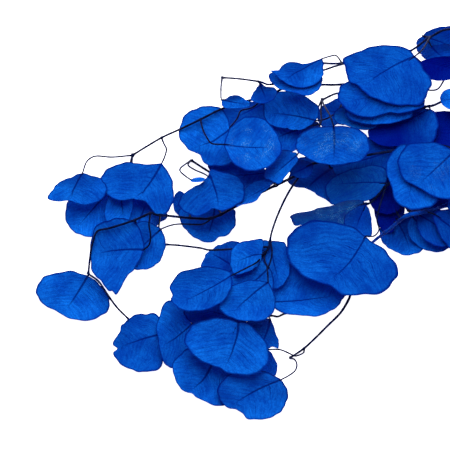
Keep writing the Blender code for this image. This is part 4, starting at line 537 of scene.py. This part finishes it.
class Pile:
    """The height that has been reached over each small square of the surface."""

    def __init__(self):
        self.top = np.zeros(GRID_CELLS)

    def cell(self, points):
        """The squares that hold the given places."""
        cells = np.floor((points - GRID_ORIGIN) / CELL).astype(int)
        return np.clip(cells, 0, np.array(GRID_CELLS) - 1)

    def squares_under(self, blade):
        """The squares that a blade covers, with their places in its unit disc."""
        half = np.abs(blade.matrix).sum(axis=1) * WIDEST_REACH + CELL
        low = self.cell(blade.centre - half)
        high = self.cell(blade.centre + half)
        i, j = np.meshgrid(np.arange(low[0], high[0] + 1), np.arange(low[1], high[1] + 1), indexing="ij")
        i = i.ravel()
        j = j.ravel()
        middles = GRID_ORIGIN + (np.column_stack([i, j]) + 0.5) * CELL
        u, v = blade.inverse @ (middles - blade.centre).T
        margin = 1 + CELL / min(blade.leaf.wide, blade.leaf.long)
        inside = np.hypot(u, v) <= blade.reach(np.arctan2(v, u)) * margin
        return i[inside], j[inside], u[inside], v[inside]

    def lay_blade(self, blade):
        """Sets a blade down on the pile, and raises the pile by it."""
        rim_u, rim_v = blade.rim_places(blade.sectors())
        rim_under = blade.rise(rim_u, rim_v) - blade.half_thickness(rim_u, rim_v)
        floor_gap = 0 if blade.leaf.pressed else FLOOR_GAP
        blade.height = floor_gap - rim_under.min()
        i, j, u, v = self.squares_under(blade)
        held = self.top[i, j] > 0
        if held.any():
            under = blade.rise(u, v) - blade.half_thickness(u, v)
            blade.height = max(blade.height, (self.top[i, j] + REST_GAP - under)[held].max())
        top = blade.height + blade.rise(u, v) + blade.half_thickness(u, v)
        self.top[i, j] = np.maximum(self.top[i, j], top)

    def clearance(self, points, radii):
        """The lowest height at which a round twig passes over the pile at each point."""
        reach = radii + CELL / 2
        level = np.zeros(len(points))
        for side in AROUND:
            i, j = self.cell(points + np.outer(reach, side)).T
            level = np.maximum(level, self.top[i, j])
        return np.where(level > 0, level + REST_GAP, FLOOR_GAP) + radii

    def raise_along(self, path, radii):
        """Raises the pile by a twig that lies along a path."""
        for side in AROUND:
            i, j = self.cell(path[:, :2] + np.outer(radii, side)).T
            np.maximum.at(self.top, (i, j), path[:, 2] + radii)


def taut(along, floor):
    """The lowest stiff line over a floor of points: straight from one high point to the next."""
    kept = []
    for i in range(len(along)):
        while len(kept) > 1:
            a, b = kept[-2], kept[-1]
            rise_to_last = (floor[b] - floor[a]) * (along[i] - along[a])
            if (along[b] - along[a]) * (floor[i] - floor[a]) < rise_to_last:
                break
            kept.pop()
        kept.append(i)
    return np.interp(along, along[kept], floor[kept])


def soften(heights, rounds):
    """Rounds off the bends of a line of heights, with its ends kept."""
    for _ in range(rounds):
        heights[1:-1] = (heights[:-2] + 2 * heights[1:-1] + heights[2:]) / 4
    return heights


def nearest_on(path, point):
    """The index of the path's point that lies nearest to a place in plan."""
    return int(np.argmin(np.linalg.norm(path[:, :2] - point[:2], axis=1)))


def lay_twig(twig, laid, pile):
    """Finds a twig's path in three dimensions, from its parent outwards, and lays it on the pile."""
    plan = smooth_route([place(p) for p in twig.route], LAYING_STEP)
    along = lengths_along(plan)
    radii = np.interp(along, [0, along[-1]], twig.radii)
    if twig.height:
        heights = np.interp(along, [0, along[-1]], twig.height)
        path = np.column_stack([plan, heights])
        pile.raise_along(path, radii)
        return path, radii
    parent_path, parent_radii = laid[twig.parent]
    at = nearest_on(parent_path, plan[0])
    floor = pile.clearance(plan, radii)
    floor[along < ROOT_WIDTHS * (parent_radii[at] + radii[0])] = 0
    floor[0] = parent_path[at, 2]
    path = np.column_stack([plan, soften(taut(along, floor), TWIG_ROUNDS)])
    pile.raise_along(path, radii)
    return path, radii


def apart_points(points, least):
    """The indices of the points that lie further than a least distance from the one kept before."""
    kept = [0]
    for i in range(1, len(points)):
        if np.linalg.norm(points[i] - points[kept[-1]]) > least:
            kept.append(i)
    return kept


def stalk_path(blade, twig_path, pile=None):
    """A leaf's stalk, from its foot on the twig to the blade. It runs at the blade's level and bends to
    the twig at its foot. Over a pile, it keeps clear of what lies below its middle."""
    leaf = blade.leaf
    points = np.array([place(p) for p in (leaf.foot or leaf.base, *leaf.via, leaf.base)])
    foot = twig_path[nearest_on(twig_path, points[0])]
    plan = np.vstack([foot[:2], points])
    plan = plan[apart_points(plan, SHORTEST_STEP)]
    if len(plan) < 2:
        return np.array([foot, blade.midrib(STALK_SINK)])
    plan = smooth_route(plan, LAYING_STEP)
    along = lengths_along(plan) / lengths_along(plan)[-1]
    join = blade.midrib(0)
    heights = foot[2] + (join[2] - foot[2]) * (1 - (1 - along) ** 2)
    if pile:
        floor = pile.clearance(plan, np.full(len(plan), STALK_RADIUS))
        floor[(along < STALK_FREE[0]) | (along > STALK_FREE[1])] = 0
        heights = soften(np.maximum(heights, floor), STALK_ROUNDS)
    return np.vstack([np.column_stack([plan, heights])[:-1], join])


def lay_out():
    """Lays all twigs and leaves on each other, and returns their paths, blades and stalks."""
    pile = Pile()
    laid = {}
    blades = []
    stalks = {}
    for item in LAYERS:
        if isinstance(item, Twig):
            laid[item.name] = lay_twig(item, laid, pile)
            continue
        blade = Blade(item)
        pile.lay_blade(blade)
        blades.append(blade)
        if item.twig in laid:
            stalks[blade] = stalk_path(blade, laid[item.twig][0], pile)
            pile.raise_along(stalks[blade], np.full(len(stalks[blade]), STALK_RADIUS))
    for blade in blades:
        if blade not in stalks:
            stalks[blade] = stalk_path(blade, laid[blade.leaf.twig][0])
    return laid, blades, stalks


laid, blades, stalks = lay_out()
twigs = {item.name: item for item in LAYERS if isinstance(item, Twig)}
rims = np.hstack([blade.plan(*blade.rim_places(blade.sectors())) for blade in blades])
to_row = np.append(np.array(cad_box[0][:2]) / METRES - rims.min(axis=1), 0)


# Main stem.
# The woody stem of the branch, dyed with the leaves: slim and round, with long bark ridges. It was cut
# straight across at its thick end, and the wood shows its rings there.
LISTED_RADII = (0.6, 0.75, 1.1, 1.8, 2.8)
SHOWN_RADII = (0.6, 0.72, 1.02, 1.74, 2.72)
BARK_SIDES = 3
BARK_WAVES = ((0.05, 0.9, 0.0), (0.04, 2.3, 1.0))
SWELL_WIDTH = 1.1
STEM_KNOTS = ((20, 0.3), (75, 0.35))
STEM_END_KNOTS = ((16, 0.3), (28, 0.25))
STEM_DYE = ((0.0, 0.05, 0.34, 1), (0.0, 0.008, 0.10, 1))
STEM_RIDGES = 900.0
BARK_CLOUDS = 220.0
BARK_PORES = 420.0
PORE_BLUE = (0.02, 0.05, 0.2, 1)


def feed(tree, node, feeds):
    """Feeds a shader node's inputs with numbers, or with the outputs of other nodes."""
    for socket, value in feeds.items():
        if isinstance(value, bpy.types.NodeSocket):
            tree.links.new(value, node.inputs[socket])
        else:
            node.inputs[socket].default_value = value


def put(tree, kind, feeds, **options):
    """Adds a shader node, sets its options and feeds it."""
    made = tree.nodes.new(kind)
    for option, value in options.items():
        setattr(made, option, value)
    feed(tree, made, feeds)
    return made


def sums(tree, operation, *feeds):
    """One step of arithmetic in a material."""
    return put(tree, "ShaderNodeMath", dict(enumerate(feeds)), operation=operation).outputs[0]


def times(tree, first, second):
    """The product of two values."""
    return sums(tree, "MULTIPLY", first, second)


def plus(tree, first, second):
    """The sum of two values."""
    return sums(tree, "ADD", first, second)


def between(tree, value, low, high):
    """0 below the low edge and 1 above the high one, with a soft step between."""
    made = put(tree, "ShaderNodeMapRange", {"Value": value, "From Min": low, "From Max": high},
               interpolation_type="SMOOTHSTEP")
    return made.outputs["Result"]


def before(tree, value, low, high):
    """1 below the low edge and 0 above the high one, with a soft step between."""
    return sums(tree, "SUBTRACT", 1.0, between(tree, value, low, high))


def noise(tree, at, scale, detail, roughness=0.5):
    """Soft uneven patches, finer at a larger scale."""
    feeds = {"Vector": at, "Scale": scale, "Detail": detail, "Roughness": roughness}
    return put(tree, "ShaderNodeTexNoise", feeds).outputs[0]


def cells(tree, at, scale, feature="F1"):
    """The distance from the middles of small cells, or from their edges."""
    made = put(tree, "ShaderNodeTexVoronoi", {"Vector": at, "Scale": scale}, feature=feature)
    return made.outputs["Distance"]


def blended(tree, amount, first, second):
    """One colour laid over another."""
    return put(tree, "ShaderNodeMix", {0: amount, 6: first, 7: second}, data_type="RGBA").outputs[2]


def raised(tree, relief, strength, depth):
    """Small relief on a surface, with its depth in metres."""
    feeds = {"Height": relief, "Strength": strength, "Distance": depth}
    return put(tree, "ShaderNodeBump", feeds).outputs[0]


def new_finish(name):
    """A material with its surface shader."""
    finish = bpy.data.materials.new(name)
    finish.use_nodes = True
    return finish.node_tree, finish.node_tree.nodes["Principled BSDF"], finish


def make_cloud_group():
    """The uneven way that dye soaks in: broad clouds with fine mottling on them."""
    tree = bpy.data.node_groups.new("dye_clouds", "ShaderNodeTree")
    for name, kind in (("Place", "NodeSocketVector"), ("Scale", "NodeSocketFloat"),
                       ("Thin dye", "NodeSocketColor"), ("Deep dye", "NodeSocketColor")):
        tree.interface.new_socket(name, in_out="INPUT", socket_type=kind)
    tree.interface.new_socket("Colour", in_out="OUTPUT", socket_type="NodeSocketColor")
    tree.interface.new_socket("Mottling", in_out="OUTPUT", socket_type="NodeSocketFloat")
    given = tree.nodes.new("NodeGroupInput").outputs
    broad = noise(tree, given["Place"], given["Scale"], 3.0, 0.55)
    fine = noise(tree, given["Place"], times(tree, given["Scale"], 9.0), 4.0, 0.6)
    depth = between(tree, plus(tree, times(tree, broad, 0.7), times(tree, fine, 0.3)), 0.34, 0.66)
    colour = blended(tree, depth, given["Deep dye"], given["Thin dye"])
    put(tree, "NodeGroupOutput", {"Colour": colour, "Mottling": fine})
    return tree


def clouds(tree, at, scale, thin_dye, deep_dye):
    """Places the dye's clouds in a material."""
    feeds = {"Place": at, "Scale": scale, "Thin dye": thin_dye, "Deep dye": deep_dye}
    made = put(tree, "ShaderNodeGroup", feeds, node_tree=dye_clouds)
    return made.outputs["Colour"], made.outputs["Mottling"]


def bark_finish(name, dyes, ridge_scale):
    """Thin bark: dyed, matt, with ridges and small pale pores."""
    tree, surface, finish = new_finish(name)
    at = put(tree, "ShaderNodeTexCoord", {}).outputs["Object"]
    colour, mottling = clouds(tree, at, BARK_CLOUDS, *dyes)
    ridges = noise(tree, at, ridge_scale, 5.0, 0.65)
    pore = before(tree, cells(tree, at, BARK_PORES), 0.06, 0.16)
    relief = plus(tree, ridges, times(tree, pore, 0.4))
    feed(tree, surface, {"Base Color": blended(tree, times(tree, pore, 0.3), colour, PORE_BLUE),
                         "Roughness": plus(tree, times(tree, mottling, 0.3), 0.45),
                         "Normal": raised(tree, relief, 0.6, 0.00025),
                         "Specular IOR Level": 0.08, "Specular Tint": (0.1, 0.2, 0.8, 1)})
    return finish


def slimmed(radii):
    """The radii that the bark really has, where the list gives stouter ones."""
    return np.interp(radii, LISTED_RADII, SHOWN_RADII)


def swollen(path, radii, swellings):
    """Thickens a twig where something grows from it, and makes it a little uneven."""
    along = lengths_along(path)
    radii = radii * (1 + sum(share * np.sin(along * rate + start) for share, rate, start in BARK_WAVES))
    for at, more in swellings:
        radii = radii + more * np.exp(-((along - along[at]) / SWELL_WIDTH) ** 2)
    return radii


def woody(name, runs, finish):
    """A piece of bark-covered runs, each with a radius of its own at every point, made a mesh."""
    bpy.ops.curve.primitive_bezier_curve_add(location=(0, 0, 0))
    piece = bpy.context.object
    piece.name = name
    piece.data.name = name
    piece.data.splines.clear()
    piece.data.dimensions = "3D"
    piece.data.bevel_depth = METRES
    piece.data.bevel_resolution = BARK_SIDES
    piece.data.use_fill_caps = True
    for path, radii in runs:
        spline = piece.data.splines.new("POLY")
        spline.points.add(len(path) - 1)
        path = np.column_stack([path[:, :2], np.maximum(path[:, 2], radii)])
        places = np.column_stack([(path + to_row) * METRES, np.ones(len(path))])
        spline.points.foreach_set("co", places.ravel())
        spline.points.foreach_set("radius", radii)
    bpy.ops.object.convert(target="MESH")
    piece = bpy.context.object
    bpy.ops.object.shade_smooth()
    piece.data.materials.clear()
    piece.data.materials.append(finish)
    return piece


dye_clouds = make_cloud_group()
stem_bark = bark_finish("stem_bark", STEM_DYE, STEM_RIDGES)
stem_path, stem_radii = laid["stem"]
stem_width = slimmed(stem_radii)
stem = woody("stem", [(stem_path, swollen(stem_path, stem_width, STEM_KNOTS))], stem_bark)
outer_path, outer_radii = laid["outer"]
outer_run = (outer_path, swollen(outer_path, slimmed(outer_radii), STEM_END_KNOTS))
outer = woody("stem_end", [outer_run], stem_bark)
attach(stem, "root")
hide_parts("main_stem")
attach(outer, "root")
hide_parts("spray_low")


# Cut end.
# The face of the cut at the stem's thick end: pale wood under the bark, stained by the dye, with rings
# and a small pith. The saw left its edge slightly rounded.
FACE_SIDES = 32
FACE_DEPTH = 1.2
FACE_PROUD = 0.15
FACE_SHARE = 0.99
FACE_ROUNDING = 0.25
SHARP_CORNER = math.radians(40)
WOOD_RINGS = 85.0
WOOD_BLUES = ((0.09, 0.13, 0.30, 1), (0.20, 0.25, 0.42, 1))
PITH_BLUE = (0.03, 0.03, 0.08, 1)
BARK_BLUE = (0.0, 0.012, 0.08, 1)


def ring_finish():
    """End grain, with rings about the pith."""
    tree, surface, finish = new_finish("cut_wood")
    at = put(tree, "ShaderNodeUVMap", {}, uv_map="UVMap").outputs[0]
    centred = put(tree, "ShaderNodeVectorMath", {0: at, 1: (0.5, 0.5, 0.0)}, operation="SUBTRACT")
    out = put(tree, "ShaderNodeVectorMath", {0: centred.outputs[0]}, operation="LENGTH").outputs["Value"]
    wobble = times(tree, noise(tree, at, 5.0, 3.0), 6.0)
    rings = sums(tree, "SINE", plus(tree, times(tree, out, WOOD_RINGS), wobble))
    rings = between(tree, rings, -0.6, 1.0)
    colour = blended(tree, rings, *WOOD_BLUES)
    colour = blended(tree, before(tree, out, 0.03, 0.06), colour, PITH_BLUE)
    colour = blended(tree, between(tree, out, 0.41, 0.46), colour, BARK_BLUE)
    feed(tree, surface, {"Base Color": colour, "Roughness": 0.75,
                         "Normal": raised(tree, rings, 0.4, 0.0001)})
    return finish


outward = stem_path[0] - stem_path[2]
outward = outward / np.linalg.norm(outward)
middle = stem_path[0] + to_row + outward * (FACE_PROUD - FACE_DEPTH / 2)
bpy.ops.mesh.primitive_cylinder_add(
    vertices=FACE_SIDES, radius=stem_width[0] * FACE_SHARE * METRES, depth=FACE_DEPTH * METRES,
    location=(0, 0, 0))
cut_face = bpy.context.object
cut_face.name = "stem_cut_face"
spots = np.array([corner.co for corner in cut_face.data.vertices])
uv = cut_face.data.uv_layers["UVMap"]
for loop in cut_face.data.loops:
    uv.data[loop.index].uv = 0.5 + spots[loop.vertex_index][:2] / (2 * stem_width[0] * METRES)
bpy.ops.object.mode_set(mode="EDIT")
bpy.ops.mesh.select_all(action="SELECT")
bpy.ops.mesh.bevel(offset=FACE_ROUNDING * METRES, segments=3, affect="EDGES")
bpy.ops.object.mode_set(mode="OBJECT")
bpy.ops.transform.rotate(value=math.pi / 2, orient_axis="Y", center_override=(0, 0, 0))
cut_face.rotation_euler = (0, math.acos(outward[2]), math.atan2(outward[1], outward[0]))
cut_face.location = middle * METRES
bpy.ops.object.transform_apply(location=True, rotation=True, scale=True)
bpy.ops.object.shade_smooth_by_angle(angle=SHARP_CORNER)
cut_face.data.materials.append(ring_finish())
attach(cut_face, "root")


# Twigs and leaf stalks.
# Each spray has a thin wiry twig, nearly black with dye, that swells a little where a stalk or a side
# twig grows from it. The stalks are finer still and run into the backs of the leaves.
STALK_WIDTHS = (0.62, 0.54)
STALK_FOOT_SWELL = 0.15
FOOT_SWELL = 0.28
TWIG_END_SWELL = 0.2
RIB_REACH = (0.04, 0.22)
RIB_POINTS = 6
RIB_SINK = (0.1, 0.45)
RIB_WIDTHS = (0.36, 0.12)
TWIG_DYE = ((0.004, 0.008, 0.045, 1), (0.001, 0.002, 0.012, 1))
TWIG_RIDGES = 1500.0
twig_bark = bark_finish("twig_bark", TWIG_DYE, TWIG_RIDGES)

sprays = {}
for twig in twigs.values():
    if twig.node != "main_stem":
        sprays.setdefault(twig.node, []).append(twig.name)

for node, names in sprays.items():
    runs = []
    for name in names:
        if name == "outer":
            continue
        path, radii = laid[name]
        growing = [nearest_on(path, stalks[blade][0]) for blade in blades if blade.leaf.twig == name]
        growing += [nearest_on(path, laid[other.name][0][0]) for other in twigs.values()
                    if other.parent == name]
        swellings = [(at, FOOT_SWELL) for at in growing]
        swellings.append((len(path) - 1, TWIG_END_SWELL))
        runs.append((path, swollen(path, slimmed(radii), swellings)))
    for blade in blades:
        if blade.leaf.twig not in names:
            continue
        stalk = stalks[blade]
        rib = np.array([blade.midrib(along) for along in np.linspace(*RIB_REACH, RIB_POINTS)])
        rib[:, 2] -= np.linspace(*RIB_SINK, RIB_POINTS)
        path = np.vstack([stalk, rib])
        widths = np.append(np.linspace(*STALK_WIDTHS, len(stalk)), np.linspace(*RIB_WIDTHS, RIB_POINTS))
        runs.append((path, swollen(path, widths, [(0, STALK_FOOT_SWELL)])))
    piece = woody(node + "_twigs", runs, twig_bark)
    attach(piece, "root")
    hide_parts(node)


# Leaves.
# Thin leathery blades, nearly round, dyed right through. A dark midrib runs in from the stalk and fades
# towards the tip, fine side veins arch from it to the edge, and the dried sheet is slightly puckered.
LEAF_SQUARES = 40
FINER_TO_RIM = 1.25
SHEET_MM = 0.5
RIB_WIDTH = 0.8
RIB_RISE = 0.3
RIB_ABOVE = 0.4
RIB_FADE = 0.9
RIB_BEND = 0.24
RIB_BEND_RATE = 1.3
RIB_BEND_FORM = (0.65, -0.35)
EDGE_PULL = 0.6
ON_MAP = 0.42
VEIN_SPACING = 0.2
VEIN_ARCH = (0.5, 0.45)
VEIN_RISE = 0.06
PUCKER = 0.22
PUCKER_WAVES = (3.1, 4.3)
PUCKER_RATE = 1.7
CRINKLE = (0.2, 0.12)
PLAIN_SHADE = 0.1
NOTCHES = (0.012, 0.007)
NOTCH_COUNTS = (9, 17)
SHARP_RIM = math.radians(55)

LEAF_CLOUDS = 70.0
OLD_CLOUDS = 160.0
LEAF_GRAIN = 800.0
VEIN_WANDER = 60.0
VEIN_PATCHES = 150.0
NET_CELLS = 620.0
DUST_AND_SHEEN_SPECKS = 1300.0
DUST_AND_SHEEN_PATCHES = 100.0
LEAF_DYE = ((0.005, 0.19, 0.77, 1), (0.002, 0.087, 0.49, 1))
OLD_DYE = ((0.008, 0.15, 0.36, 1), (0.004, 0.075, 0.25, 1))
GRAIN_BLUE = (0.0, 0.035, 0.34, 1)
NET_BLUE = (0.0, 0.03, 0.3, 1)
VEIN_BLUE = (0.0, 0.018, 0.24, 1)
RIB_BLUE = (0.0, 0.008, 0.14, 1)
EDGE_BLUE = (0.0, 0.006, 0.16, 1)
UNDER_BLUE = (0.01, 0.07, 0.32, 1)
DYE_AND_PAINTED_SHADE_BLUE = (0.0, 0.001, 0.15, 1)
HAZE_BLUE = (0.02, 0.28, 0.62, 1)
DUST_AND_SHEEN_BLUE = (0.2, 0.55, 0.7, 1)


def places_of(piece):
    """The places of a piece's points, as three rows."""
    places = np.empty(len(piece.data.vertices) * 3)
    piece.data.vertices.foreach_get("co", places)
    return places.reshape(-1, 3).T


def note(piece, name, values):
    """Writes a value at each point of a piece, for its material to read."""
    layer = piece.data.attributes.new(name, "FLOAT", "POINT")
    every = np.broadcast_to(values, len(piece.data.vertices))
    layer.data.foreach_set("value", every.astype(np.float32))


def leaf_pattern():
    """One flat round leaf with its stalk towards -X, one unit thick, whose rows lie along the midrib."""
    bpy.ops.mesh.primitive_grid_add(x_subdivisions=LEAF_SQUARES, y_subdivisions=LEAF_SQUARES, size=2)
    pattern = bpy.context.object
    x, y, _ = places_of(pattern)
    y = np.sign(y) * np.abs(y) ** FINER_TO_RIM
    disc = np.column_stack([x * np.sqrt(1 - y ** 2 / 2), y * np.sqrt(1 - x ** 2 / 2), np.zeros(len(x))])
    pattern.data.vertices.foreach_set("co", disc.ravel())
    wall = pattern.modifiers.new("wall", "SOLIDIFY")
    wall.thickness = 1
    wall.offset = 0
    bpy.ops.object.modifier_apply(modifier="wall")
    return pattern


pattern = leaf_pattern()
along, across, level = places_of(pattern)
pattern_places = (along, across, np.sign(level))
pattern_corners = np.empty(len(pattern.data.loops), int)
pattern.data.loops.foreach_get("vertex_index", pattern_corners)
note(pattern, "under", level < 0)
note(pattern, "outward", np.hypot(along, across))


def leaf_from(pattern, blade):
    """A leaf of its own, bent and shaped from the pattern."""
    along, across, side = pattern_places
    leaf = pattern.copy()
    leaf.data = pattern.data.copy()
    bpy.context.collection.objects.link(leaf)
    turn = blade.base_angle
    u = -along * math.cos(turn) - across * math.sin(turn)
    v = -along * math.sin(turn) + across * math.cos(turn)
    out = np.hypot(u, v)
    angle = np.arctan2(v, u)
    phase = blade.phase
    few, many = NOTCH_COUNTS
    notches = NOTCHES[0] * np.sin(few * angle + phase) + NOTCHES[1] * np.sin(many * angle + 2 * phase)
    stretch = 1 + (blade.reach(angle) + notches - 1) * out ** EDGE_PULL
    # Painted shade: deeper dye together with the shade that other leaves cast, darker towards one side by the
    # slope.
    shade = PLAIN_SHADE + blade.leaf.shade + blade.leaf.painted_shade_slope[0] * u + blade.leaf.painted_shade_slope[1] * v
    u = u * stretch
    v = v * stretch
    half = (blade.leaf.wide + blade.leaf.long) / 4
    bend = RIB_BEND * math.sin(RIB_BEND_RATE * phase) * (along + 1)
    from_rib = across - bend * (RIB_BEND_FORM[0] + RIB_BEND_FORM[1] * along)
    rib = np.exp(-(from_rib * half / RIB_WIDTH) ** 2) * np.clip(RIB_FADE - along, 0, 1)
    arch = np.abs(from_rib) * (VEIN_ARCH[0] + VEIN_ARCH[1] * np.abs(from_rib))
    veins = np.cos(2 * math.pi * (along - arch) / VEIN_SPACING + phase * np.sign(from_rib))
    pucker = (np.sin(PUCKER_WAVES[0] * along + phase)
              * np.sin(PUCKER_WAVES[1] * across + PUCKER_RATE * phase))
    small = (VEIN_RISE * veins * (1 - out ** 2) * (1 - rib) + PUCKER * pucker
             + out ** 5 * (CRINKLE[0] * np.sin(few * angle + 2 * phase)
                           + CRINKLE[1] * np.sin(many * angle + phase)))
    z = blade.height + blade.rise(u, v) + small + side * SHEET_MM / 2
    z = np.maximum(z - RIB_RISE * rib * np.where(side > 0, RIB_ABOVE, 1), (side + 1) * SHEET_MM / 2)
    places = (np.column_stack([*blade.plan(u, v), z]) + to_row) * METRES
    leaf.data.vertices.foreach_set("co", places.ravel())
    on_disc = 0.5 + ON_MAP * np.column_stack([along, from_rib])[pattern_corners]
    leaf.data.uv_layers["UVMap"].data.foreach_set("uv", on_disc.ravel())
    note(leaf, "shade", shade)
    note(leaf, "age", blade.leaf.age)
    note(leaf, "dust_and_sheen", blade.leaf.dust_and_sheen)
    note(leaf, "half", half)
    return leaf


def leaf_finish():
    """Dried leaf, dyed royal blue: veins, clouds of dye, a thin dark edge, darkening for deeper dye and
    painted shade, and pale dusty specks with painted sheen.
    """
    tree, surface, finish = new_finish("leaf_dye")
    at = put(tree, "ShaderNodeTexCoord", {}).outputs["Object"]
    on_leaf = put(tree, "ShaderNodeUVMap", {}, uv_map="UVMap").outputs[0]
    parts = put(tree, "ShaderNodeSeparateXYZ", {0: on_leaf}).outputs
    along, across = [sums(tree, "MULTIPLY_ADD", part, 1 / ON_MAP, -0.5 / ON_MAP) for part in parts[:2]]
    beside = sums(tree, "ABSOLUTE", across)
    shade, age, dust_and_sheen, under, out, half = [
        put(tree, "ShaderNodeAttribute", {}, attribute_type="GEOMETRY", attribute_name=name).outputs["Fac"]
        for name in ("shade", "age", "dust_and_sheen", "under", "outward", "half")]

    # The midrib is a line of its own width in millimetres, that thins and fades towards the tip.
    rib_width = sums(tree, "MULTIPLY_ADD", along, -0.2, 0.42)
    from_rib = sums(tree, "DIVIDE", times(tree, beside, half), rib_width)
    rib = times(tree, before(tree, from_rib, 0.5, 1.7), before(tree, along, -0.1, 0.95))

    # Side veins: a few stronger ones and many fine ones between them, bent by a slow wander.
    wander = sums(tree, "MULTIPLY_ADD", noise(tree, at, VEIN_WANDER, 2.0), 0.5, -0.25)
    arch = times(tree, beside, sums(tree, "MULTIPLY_ADD", beside, VEIN_ARCH[1], VEIN_ARCH[0]))
    lean = plus(tree, sums(tree, "SUBTRACT", along, arch), wander)
    lean = plus(tree, lean, times(tree, sums(tree, "SIGN", across), 0.05))
    fading = before(tree, out, 0.55, 1.0)
    veins = 0.0
    for spacing, thinness, depth in ((VEIN_SPACING, 0.1, 0.75), (VEIN_SPACING / 2, 0.15, 0.4)):
        order = sums(tree, "FRACT", sums(tree, "MULTIPLY_ADD", lean, 1 / spacing, 60.0))
        from_vein = sums(tree, "ABSOLUTE", sums(tree, "SUBTRACT", order, 0.5))
        line = before(tree, from_vein, 0.0, thinness)
        veins = sums(tree, "MAXIMUM", veins, times(tree, line, depth))
    patches = between(tree, noise(tree, at, VEIN_PATCHES, 2.0), 0.3, 0.65)
    veins = times(tree, times(tree, veins, fading), patches)
    flow = put(tree, "ShaderNodeCombineXYZ", {0: times(tree, lean, 16.0), 1: times(tree, beside, 3.0),
                                              2: half}).outputs[0]
    streaks = between(tree, noise(tree, flow, 1.0, 4.0), 0.38, 0.68)
    net = before(tree, cells(tree, at, NET_CELLS, "DISTANCE_TO_EDGE"), 0.0, 0.12)

    # Dustiness and painted sheen lie in patches, as a thin pale haze with specks in it.
    specks = before(tree, cells(tree, at, DUST_AND_SHEEN_SPECKS), 0.14, 0.38)
    patch = noise(tree, at, DUST_AND_SHEEN_PATCHES, 5.0)
    dust_and_sheen = times(tree, dust_and_sheen, fading)
    haze = times(tree, between(tree, patch, 0.42, 0.7), dust_and_sheen)
    specks = times(tree, times(tree, specks, between(tree, patch, 0.5, 0.62)), dust_and_sheen)

    colour, mottling = clouds(tree, at, LEAF_CLOUDS, *LEAF_DYE)
    old_colour, _ = clouds(tree, at, OLD_CLOUDS, *OLD_DYE)
    colour = blended(tree, age, colour, old_colour)
    grain = between(tree, noise(tree, at, LEAF_GRAIN, 4.0), 0.4, 0.7)
    edge = between(tree, out, 0.93, 0.985)
    # The shade blend darkens each leaf for deeper dye together with painted shade.
    for cover, share, blue in ((grain, 0.3, GRAIN_BLUE), (streaks, 0.42, GRAIN_BLUE),
                               (net, 0.25, NET_BLUE), (veins, 1.0, VEIN_BLUE), (rib, 0.85, RIB_BLUE),
                               (edge, 0.85, EDGE_BLUE), (under, 0.35, UNDER_BLUE),
                               (shade, 0.9, DYE_AND_PAINTED_SHADE_BLUE), (haze, 0.22, HAZE_BLUE),
                               (specks, 1.0, DUST_AND_SHEEN_BLUE)):
        colour = blended(tree, times(tree, cover, share), colour, blue)

    relief = mottling
    for height, share in ((veins, -0.8), (net, -0.3), (streaks, -0.5)):
        relief = sums(tree, "MULTIPLY_ADD", height, share, relief)
    feed(tree, surface, {"Base Color": colour,
                         "Roughness": sums(tree, "MULTIPLY_ADD", mottling, 0.25, 0.45),
                         "Normal": raised(tree, relief, 0.6, 0.0003),
                         "Specular IOR Level": 0.22, "Specular Tint": (0.0, 0.25, 1.0, 1)})
    return finish


pattern.data.materials.append(leaf_finish())

for node, names in sprays.items():
    leaves = [leaf_from(pattern, blade) for blade in blades if blade.leaf.twig in names]
    bpy.ops.object.select_all(action="DESELECT")
    for leaf in leaves:
        leaf.select_set(True)
    bpy.context.view_layer.objects.active = leaves[0]
    if len(leaves) > 1:
        bpy.ops.object.join()
    piece = leaves[0]
    piece.name = node + "_leaves"
    piece.data.name = piece.name
    bpy.ops.object.shade_smooth_by_angle(angle=SHARP_RIM)
    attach(piece, "root")
    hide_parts(node)
bpy.data.objects.remove(pattern)


# White table, light and camera.
# The branch lies on a plain white surface under broad, even light from above, and the camera looks
# straight down on it.
CAMERA_HEIGHT = 5.0
LEAF_LEVEL = 0.02
SENSOR_MM = 36.0
TABLE_SIZE = 4
TABLE_DROP = 0.0002
TABLE_WHITE = (0.9, 0.9, 0.9, 1)
TABLE_ROUGHNESS = 0.8
FILL_COLOUR = (0.45, 0.4, 1, 1)
FILL_STRENGTH = 0.3
LAMP_AWAY = 0.7
LAMP_HEIGHT = 1.05
LAMP_TURN = math.radians(-34)
LAMP_SIZE = 0.8
LAMP_POWER = 21.5
middle_x, middle_y = (place((PICTURE_SIDE / 2, PICTURE_SIDE / 2)) + to_row[:2]) * METRES

bpy.ops.mesh.primitive_plane_add(size=TABLE_SIZE, location=(0, 0, -TABLE_DROP))
table = bpy.context.object
table.name = "table"
tree, surface, finish = new_finish("table_white")
feed(tree, surface, {"Base Color": TABLE_WHITE, "Roughness": TABLE_ROUGHNESS,
                     "Emission Color": (1, 1, 1, 1), "Emission Strength": 1.0})
table.data.materials.append(finish)

world = bpy.data.worlds.new("studio")
world.use_nodes = True
feed(world.node_tree, world.node_tree.nodes["Background"],
     {"Color": FILL_COLOUR, "Strength": FILL_STRENGTH})
bpy.context.scene.world = world

bpy.ops.object.light_add(type="AREA", location=(middle_x, middle_y + LAMP_AWAY, LAMP_HEIGHT),
                         rotation=(LAMP_TURN, 0, 0))
lamp = bpy.context.object
lamp.data.size = LAMP_SIZE
lamp.data.energy = LAMP_POWER

bpy.ops.object.camera_add(location=(middle_x, middle_y, CAMERA_HEIGHT), rotation=(0, 0, 0))
camera = bpy.context.object
camera.data.sensor_width = SENSOR_MM
camera.data.lens = SENSOR_MM * (CAMERA_HEIGHT - LEAF_LEVEL) / (PICTURE_SIDE * PIXEL_MM * METRES)
bpy.context.scene.camera = camera
bpy.context.scene.view_settings.view_transform = "Standard"
